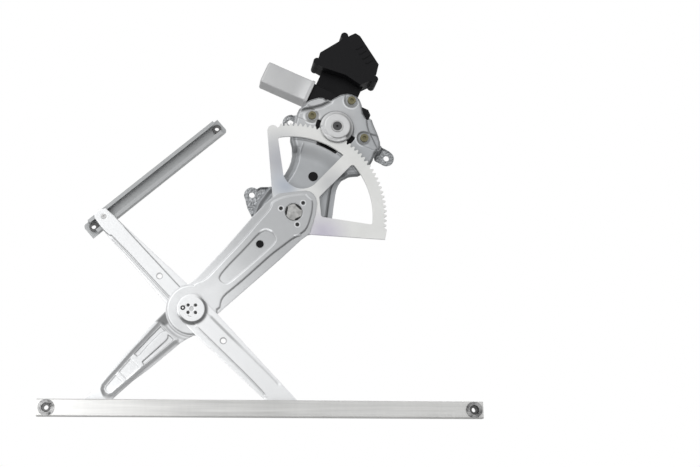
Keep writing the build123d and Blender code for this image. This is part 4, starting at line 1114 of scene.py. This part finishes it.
@dataclass
class PinionBoss:
    """The raised cap of the plate over the pinion, open on the sector's side."""

    radius: float = 19.4
    top: float = 22.5
    sheet: float = 1.9
    hole: float = 6.9
    foot: float = 13.0
    shoulder: float = 3.4
    wall_at: float = 18.5
    teeth: Pair = (107.0, 110.0)
    around: int = 144
    bump_radius: float = 1.4
    bumps: tuple[tuple[Pair, Pair], ...] = (((-12, -11.4), (-6.4, -13.6)), ((2.8, -17), (7.6, -14.8)))

    def lip(self, x: Grid, y: Grid) -> Grid:
        """How far a point about the pinion lies on the two bumps of the lip over the teeth."""
        bump = np.full(x.shape, FAR)
        for start, end in self.bumps:
            bump = np.minimum(bump, capsule(x, y, start, end, self.bump_radius, self.bump_radius))
        return fall(bump, -1, 1.2)

    def build(self) -> Piece:
        """Cap as a profile turned round the pinion: its wall is cut short where the teeth pass.

        Returns:
            The closed mesh object.
        """
        turn = np.linspace(0, 2 * math.pi, self.around, endpoint=False)[:, None]
        reach = np.hypot(PINION[0] + self.wall_at * np.cos(turn), PINION[1] + self.wall_at * np.sin(turn))
        open_side = fall(reach, *self.teeth)
        foot = self.foot + (self.top - self.sheet - self.foot) * open_side
        outer = np.concatenate([
            (self.hole, self.hole + 0.4), np.arange(8, 13.6, 0.7),
            (13.9, 14.4, 14.9, 15.5, 16.2, 17, 17.8, 18.5, 19.1, self.radius, self.radius)])
        closed_drop = np.interp(
            outer, (13.9, 14.9, 16.2, 17.8, 19.1, self.radius), (0, 0.3, 1.9, 3.2, 3.8, 4.6))
        open_drop = np.interp(
            outer, (13.9, 14.9, 15.5, 17, 18.5, self.radius), (0, 0.9, 0.9, 0.5, 0.6, 1.5))
        outer_height = self.top - closed_drop * (1 - open_side) - open_drop * open_side
        outer_height[:, 0] -= 0.3
        outer_height[:, -1:] = foot
        inner = np.array((17.5, 17.5, 14, self.hole))
        under = self.top - self.sheet - 0 * turn
        step = np.maximum(under - self.shoulder * (1 - open_side), foot)
        inner_height = np.concatenate([foot, step, under, under], axis=1)
        radius = np.concatenate([outer, inner])[None, :] + 0 * turn
        height = np.concatenate([outer_height, inner_height], axis=1)
        x = radius * np.cos(turn)
        y = radius * np.sin(turn)
        bump = self.lip(x, y)
        front = slice(0, len(outer) - 1)
        height[:, front] += bump[:, front]
        points = to_row((PINION[0] + x).ravel(), (PINION[1] + y).ravel(), height.ravel())
        piece = make_piece("pinion_boss_cap", points, lattice(*radius.shape), 50)
        # Painted shade on slopes that face away from the light, painted highlights on slopes that face it
        # and on the lip's bumps
        run = np.maximum(np.gradient(outer), 0.1)
        slope = np.clip(np.abs(np.gradient(outer_height, axis=1) / run), 0, 1)
        lit = LIT_UP * np.sin(turn) - LIT_LEFT * np.cos(turn)
        wall = np.zeros(radius.shape)
        wall[:, :len(outer)] = slope * (0.5 - 0.5 * lit)
        ridge = np.zeros(radius.shape)
        ridge[:, :len(outer)] = slope * np.clip(lit, 0, 1)
        ridge[:, front] = np.maximum(ridge, 0.8 * bump)[:, front]
        write_relief(piece, ridge.ravel(), np.zeros(radius.size), wall.ravel())
        return piece


@dataclass
class MotorCan:
    """The drawn steel can of the motor: a box with small front corners, round back corners and a collar."""

    mouth: Pair = (21.7, 147.6)
    turn: float = -24.0
    width: float = 27.0
    bulge: float = 1.0
    back: float = -11.0
    front: float = 15.0
    front_corner: float = 2.0
    back_corner: float = 7.0
    collar: float = 1.05

    def section(self) -> Points:
        """Closed section as four arcs joined by straight sides, across and up, about its own middle."""
        middle = (self.back + self.front) / 2
        half = self.width / 2
        deep = (self.front - self.back) / 2
        across = []
        up = []
        for side, rise, radius, first in (
                (1, 1, self.front_corner, 0), (-1, 1, self.front_corner, 90),
                (-1, -1, self.back_corner, 180), (1, -1, self.back_corner, 270)):
            angle = np.radians(np.linspace(first, first + 90, 10))
            wide = half + (0 if rise > 0 else self.bulge)
            across.append(side * (wide - radius) + radius * np.cos(angle))
            up.append(rise * (deep - radius) + radius * np.sin(angle))
        return np.concatenate(across), middle + np.concatenate(up)

    def build(self, steel: Material) -> None:
        """Builds and dresses the can: its section carried along the motor, scaled about its middle."""
        across, up = self.section()
        middle = (self.back + self.front) / 2
        place = np.array((
            (-59.9, 0), (-59.8, 0.4), (-59.4, 0.8), (-59, 0.9), (-58.5, 0.96), (-57.8, 0.99), (-57, 1),
            (-40, 1), (-20, 1), (-3.6, 1), (-3.2, 1.02), (-2.9, self.collar), (-0.6, self.collar),
            (0.2, 1.03), (0.4, 0.96), (0.4, 0.5), (0.4, 0)))
        scale = place[:, 1:2]
        v = across[None, :] * scale
        h = middle + (up[None, :] - middle) * scale
        u = place[:, 0:1] + 0 * v
        c, s = heading(self.turn)
        points = to_row(self.mouth[0] + u * c - v * s, self.mouth[1] + u * s + v * c, h).reshape(-1, 3)
        can = make_piece("can_shell", points, lattice(*u.shape, round_rows=False)[:, ::-1], 50)
        weld(can, 1e-6)
        seat(can, steel, "motor_and_plate", Finish.GALVANISED, "motor_can")


@dataclass
class PinFace:
    """The machined end of the pivot pin, with three notches in painted shade."""

    radius: float = 9.7
    notches: tuple[tuple[float, float], ...] = ((172, 24), (50, 20), (-58, 15))
    thick: float = 0.5

    def notch(self, x: Grid, y: Grid) -> Grid:
        """Signed distance of the notches: bars along chords of the rim."""
        shape = np.full(x.shape, FAR)
        for angle, half in self.notches:
            start, end = polar(9.4, angle - half), polar(9.4, angle + half)
            shape = np.minimum(shape, capsule(x, y, start, end, 1.7, 1.3))
        return shape

    def shade(self, x: Grid, y: Grid) -> Marks:
        """Painted shade in the notches and round the rim, mottled tone, and painted highlights on turned
        rings between them.
        """
        away = np.hypot(x, y)
        arc = disc(x, y, (1, 0), 7.2)
        dark = most(fall(self.notch(x, y), -0.3, 0.5), 0.55 * ramp(away, 8.6, 9.3),
                    0.35 * np.clip(spangle(x, y, 2.4, 31) + 0.2, 0, 1))
        painted_highlight = most(1.2 * fall(np.hypot(x + 4.4, y + 1), 0.6, 1.8),
                     line(arc, 0.3, 0.9) * fall(np.hypot(x - 7, y + 4), 2, 4.5))
        return dark, painted_highlight

    def build(self, steel: Material) -> None:
        """Builds and dresses the pin's face just in front of the pin."""
        front = -1000 * min(corner[1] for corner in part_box("pivot_pin")) + 0.3

        def outline(x: Grid, y: Grid) -> Grid:
            """Signed distance of the rim."""
            return disc(x, y, (0, 0), self.radius)

        def height(x: Grid, y: Grid) -> Grid:
            """Flat face with sunk notches and a low middle."""
            sunk = 0.2 * fall(self.notch(x, y), -0.4, 0.4)
            return front - sunk - 0.05 * fall(np.hypot(x, y), 2, 4)

        piece = PressedSheet("pin_face", (0, 0), 0, (-11, 11, -11, 11), outline, height,
                             self.thick, 0.28, 0.1, self.shade).build()
        seat(piece, steel, "motor_and_plate", Finish.PIN)


@dataclass
class Studio:
    """Camera, floor, lamps and world."""

    azimuth: float = -4.0
    elevation: float = -14.0
    place: Triple = (-0.0808, -1.274, -0.3534)
    focal: float = 1150.0
    axis_at: Pair = (259.0, 225.0)
    width: float = 700.0
    height: float = 467.0
    floor: float = -0.62

    def stance(self, place: Triple, back: Grid) -> Matrix:
        """Matrix of a thing at a place with its Z axis along back and its X axis level."""
        side = np.cross((0, 0, 1), back)
        side /= np.linalg.norm(side)
        return Matrix.Translation(place) @ Matrix((side, np.cross(back, side), back)).transposed().to_4x4()

    def camera(self) -> None:
        """Camera fitted to the photograph: its back vector from two angles, its shift from the axis."""
        a = math.radians(self.azimuth)
        e = math.radians(self.elevation)
        back = np.array([math.sin(a) * math.cos(e), -math.cos(a) * math.cos(e), math.sin(e)])
        data = bpy.data.cameras.new("camera")
        data.sensor_width = 36
        data.sensor_fit = "HORIZONTAL"
        data.lens = 36 * self.focal / self.width
        data.shift_x = (self.width / 2 - self.axis_at[0]) / self.width
        data.shift_y = (self.axis_at[1] - self.height / 2) / self.width
        data.clip_start = 0.05
        data.clip_end = 20
        camera = bpy.data.objects.new("camera", data)
        camera.matrix_world = self.stance(self.place, back)
        bpy.context.collection.objects.link(camera)
        bpy.context.scene.camera = camera

    def lamp(self, name: str, place: Triple, target: Triple,
             size: float, power: float) -> None:
        """Square area lamp that looks at a target.

        Args:
            name: The lamp's name.
            place: Where it stands, in metres.
            target: What it looks at.
            size: Side of the lamp.
            power: Its power in watts.
        """
        data = bpy.data.lights.new(name, "AREA")
        data.shape = "SQUARE"
        data.size = size
        data.energy = power
        lamp = bpy.data.objects.new(name, data)
        way = np.array(target) - np.array(place)
        lamp.matrix_world = self.stance(place, -way / np.linalg.norm(way))
        bpy.context.collection.objects.link(lamp)

    def world(self, soft: float) -> None:
        """White behind everything and in reflections, a softer grey as light."""
        world = bpy.data.worlds.new("studio")
        bpy.context.scene.world = world
        world.use_nodes = True
        tree = world.node_tree
        tree.nodes.clear()
        path = tree.nodes.new("ShaderNodeLightPath")
        seen = path.outputs["Is Camera Ray"]
        for ray in ("Is Glossy Ray", "Is Transmission Ray"):
            either = tree.nodes.new("ShaderNodeMath")
            either.operation = "MAXIMUM"
            tree.links.new(seen, either.inputs[0])
            tree.links.new(path.outputs[ray], either.inputs[1])
            seen = either.outputs[0]
        mix = tree.nodes.new("ShaderNodeMixShader")
        tree.links.new(seen, mix.inputs[0])
        for place, strength in enumerate((soft, 1), 1):
            white = tree.nodes.new("ShaderNodeBackground")
            white.inputs["Color"].default_value = (1, 1, 1, 1)
            white.inputs["Strength"].default_value = strength
            tree.links.new(white.outputs[0], mix.inputs[place])
        output = tree.nodes.new("ShaderNodeOutputWorld")
        tree.links.new(mix.outputs[0], output.inputs["Surface"])

    def stand(self) -> None:
        """Pale floor well below the part, which hangs in front of a white room."""
        extent = 6
        line = np.linspace(-extent, extent, 3)
        x, y = np.meshgrid(line, line, indexing="ij")
        points = np.stack([x, y, np.full_like(x, self.floor)], axis=-1).reshape(-1, 3)
        floor = make_piece("floor", points, lattice(3, 3, False, False)[:, ::-1])
        g = Graph("floor_paint")
        g.shader.inputs["Base Color"].default_value = (0.86, 0.86, 0.86, 1)
        g.shader.inputs["Roughness"].default_value = 0.9
        floor.data.materials.append(g.material)

    def build(self) -> None:
        """Sets up the whole studio."""
        bpy.context.scene.view_settings.view_transform = "Standard"
        self.camera()
        self.world(0.3)
        self.stand()
        self.lamp("key", (-0.75, -1.5, 0.95), (-0.02, 0, -0.03), 0.9, 7)
        self.lamp("fill", (0.7, -1.6, 0.15), (0, 0, -0.05), 1, 2)
        self.lamp("low", (-0.34, -0.5, -0.24), (-0.13, 0, -0.15), 0.35, 1.15)
        self.lamp("back", (0.9, 1.4, 1.5), (0, 0.2, -0.1), 1, 9)


def seat(piece: Piece, finish: Material, body: str, slot: Finish, *nodes: str) -> None:
    """Dresses a new piece, hangs it on its body and hides the nodes it stands for.

    Args:
        piece: The new piece.
        finish: Its material.
        body: The CAD body that it moves with.
        slot: The record's material slot; not used.
        nodes: CAD nodes that it replaces.
    """
    piece.data.materials.clear()
    piece.data.materials.append(finish)
    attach(piece, body)
    if nodes:
        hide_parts(*nodes)
    log.info("%s: %d vertices on %s", piece.name, len(piece.data.vertices), body)


@dataclass
class Wardrobe:
    """The finishes of the CAD nodes that stay."""

    def rack(self) -> tuple[tuple[Recipe, str], ...]:
        """Recipes, each with the names of the CAD nodes that wear it."""
        return (
            # Painted light: the plate's zinc turns lighter round the pinion boss
            (PressedZinc("plate_zinc", (0.43, 0.445, 0.46), 0.3, 0.42, 0.13, True, 0.5, painted_highlight=0.5, tints_and_painted_light=(
                ((0.085, -0.012, 0.09), 0.062, 1.3, (0.6, 0.61, 0.62)),)), "base_plate"),
            # A lighter copy of the plate's zinc for the boss cap, as painted light
            (PressedZinc("painted_lit_cap_zinc", (0.7, 0.705, 0.71), 0.3, 0.4, 0.1, True, 0.75), ""),
            # Painted light: the arm's zinc turns lighter round the crossing and round its lower end
            (PressedZinc("arm_zinc", (0.49, 0.5, 0.51), 0.3, 0.4, 0.05, True, 0.75, painted_highlight=0.38, tints_and_painted_light=(
                ((-0.067, -0.021, -0.137), 0.135, 1, (0.8, 0.81, 0.82)),
                ((-0.15, -0.021, -0.225), 0.12, 1, (0.8, 0.81, 0.82)))), "lift_arm"),
            # A lighter copy of the arms' zinc for the crossing arm, as painted light
            (PressedZinc("painted_lit_cross_zinc", (0.87, 0.88, 0.89), 0.3, 0.42, 0.03, True, 0.8),
             "cross_arm_front cross_arm_rear"),
            # Its relief paints the notches and the rim nearly black as shade, and highlights onto the face
            (PressedZinc("pin_face_steel", (0.46, 0.46, 0.45), 0.5, 0.36, 0.25, True, 0.97), ""),
            # Painted shade: nearly black spots in the pits of the three sector rivets
            (PressedZinc("rivet_zinc", (0.7, 0.7, 0.7), 0.3, 0.4, 0.05, tints_and_painted_light=(
                ((0.0569, -0.021, -0.0137), 0.0036, 3, (0.012, 0.012, 0.012)),
                ((0.0316, -0.021, -0.0205), 0.0036, 3, (0.012, 0.012, 0.012)),
                ((0.0501, -0.021, -0.039), 0.0036, 3, (0.012, 0.012, 0.012)))), "sector_rivets"),
            (PressedZinc("sector_zinc", (0.82, 0.825, 0.81), 0.25, 0.42, 0.06, tints_and_painted_light=(
                ((0.03, -0.019, 0.04), 0.045, 0.95, (0.46, 0.47, 0.51)),
                ((0.036, -0.019, 0.006), 0.03, 0.8, (0.44, 0.48, 0.55)),
                ((0.078, -0.019, -0.052), 0.04, 0.9, (0.56, 0.53, 0.64)),
                ((0.09, -0.019, 0.01), 0.03, 0.6, (0.5, 0.51, 0.53)))), "sector_gear"),
            (RolledStrip("rail_strip", (0.63, 0.63, 0.62), streaks=0.55), "lift_rail"),
            (RolledStrip("short_rail_strip", (0.42, 0.43, 0.435), 40.9, 0.35, 0.1, 0.08), "short_rail"),
            (PressedZinc("can_zinc", (0.56, 0.565, 0.57), 0.3, 0.4, 0.06), "motor_can"),
            (TurnedMetal("pin_steel", (0.5, 0.5, 0.5)), "pivot_pin centre_hub lift_arm_stud cross_arm_stud "
             "short_arm_stud shaft_clip armature_shaft pinion_bush"),
            # Strong black and white blotches as a painted reflection on the cups
            (TurnedMetal("cup_steel_painted_reflection", (0.2, 0.2, 0.2), 0.5, 0.25, 1.6), "nut_cups"),
            (TurnedMetal("nut_steel", (0.07, 0.07, 0.07), 0.4, 0.35, 0.6), "glass_nuts"),
            # Nearly black rivet heads seen in the hub's pits
            (TurnedMetal("dark_hub_rivet_steel", (0.03, 0.03, 0.03), 0.3), "hub_rivets"),
            (TurnedMetal("dull_nut_steel", (0.1, 0.1, 0.1), 0.4), "short_rail_nuts"),
            (TurnedMetal("pinion_steel", (0.07, 0.07, 0.072), 0.4, 0.45), "pinion_shaft"),
            (TurnedMetal("screw_zinc", (0.17, 0.155, 0.085), 0.4, 0.42, 0.2), "motor_screws"),
            (TurnedMetal("sintered_bronze", (0.45, 0.3, 0.16), 0.7, 0.5), "rear_bearing housing_bearings"),
            (TurnedMetal("enamelled_copper", (0.5, 0.2, 0.09), 0.6, 0.4), "armature_windings commutator"),
            (TurnedMetal("stacked_iron", (0.16, 0.16, 0.165), 0.5, 0.55), "armature_core"),
            (TurnedMetal("ferrite", (0.06, 0.06, 0.065), 0.2, 0.6), "field_magnets"),
            (TurnedMetal("tinned_contact", (0.62, 0.62, 0.6), 0.8, 0.3), "connector_terminals"),
            (MouldedPlastic("black_moulding", (0.005, 0.005, 0.006), 0.55),
             "gear_housing module_case brush_holder relays base_plug arm_plug"),
            (MouldedPlastic("lid_moulding", (0.006, 0.006, 0.007), 0.5), "module_cover gear_housing_cover"),
            (MouldedPlastic("pressed_carbon", (0.03, 0.03, 0.03), 0.6), "carbon_brushes"),
            (MouldedPlastic("white_moulding", (0.66, 0.65, 0.6), 0.4, 0.15), "left_glass_roller "
             "right_glass_roller short_rail_roller worm_wheel pivot_spacer arm_washers"),
            (MouldedPlastic("lacquered_board", (0.03, 0.12, 0.05), 0.35, 0.2), "circuit_board"),
        )

    def dress(self, nodes: dict[str, Piece]) -> dict[str, Material]:
        """Makes each finish once and gives every CAD node its finish.

        Args:
            nodes: The CAD nodes by name.
        Returns:
            The materials by name.
        """
        made = {}
        for recipe, names in self.rack():
            made[recipe.name] = recipe.make()
            for name in names.split():
                slots = nodes[name].data.materials
                slots.clear()
                slots.append(made[recipe.name])
        log.info("dressed the CAD nodes in %d finishes", len(made))
        return made


def main() -> None:
    """Builds the scene: frame, studio, finishes, then each sub-assembly."""
    logging.basicConfig(level=logging.INFO, format="%(name)s: %(message)s")
    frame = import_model()
    Studio().build()
    finishes = Wardrobe().dress(frame["nodes"])
    BasePlate().build(finishes["plate_zinc"], finishes["painted_lit_cap_zinc"])
    LiftArm().build(finishes["arm_zinc"])
    CrossingArm().build(finishes["painted_lit_cross_zinc"])
    MotorCan().build(finishes["can_zinc"])
    PinFace().build(finishes["pin_face_steel"])


if __name__ == "__main__":
    main()
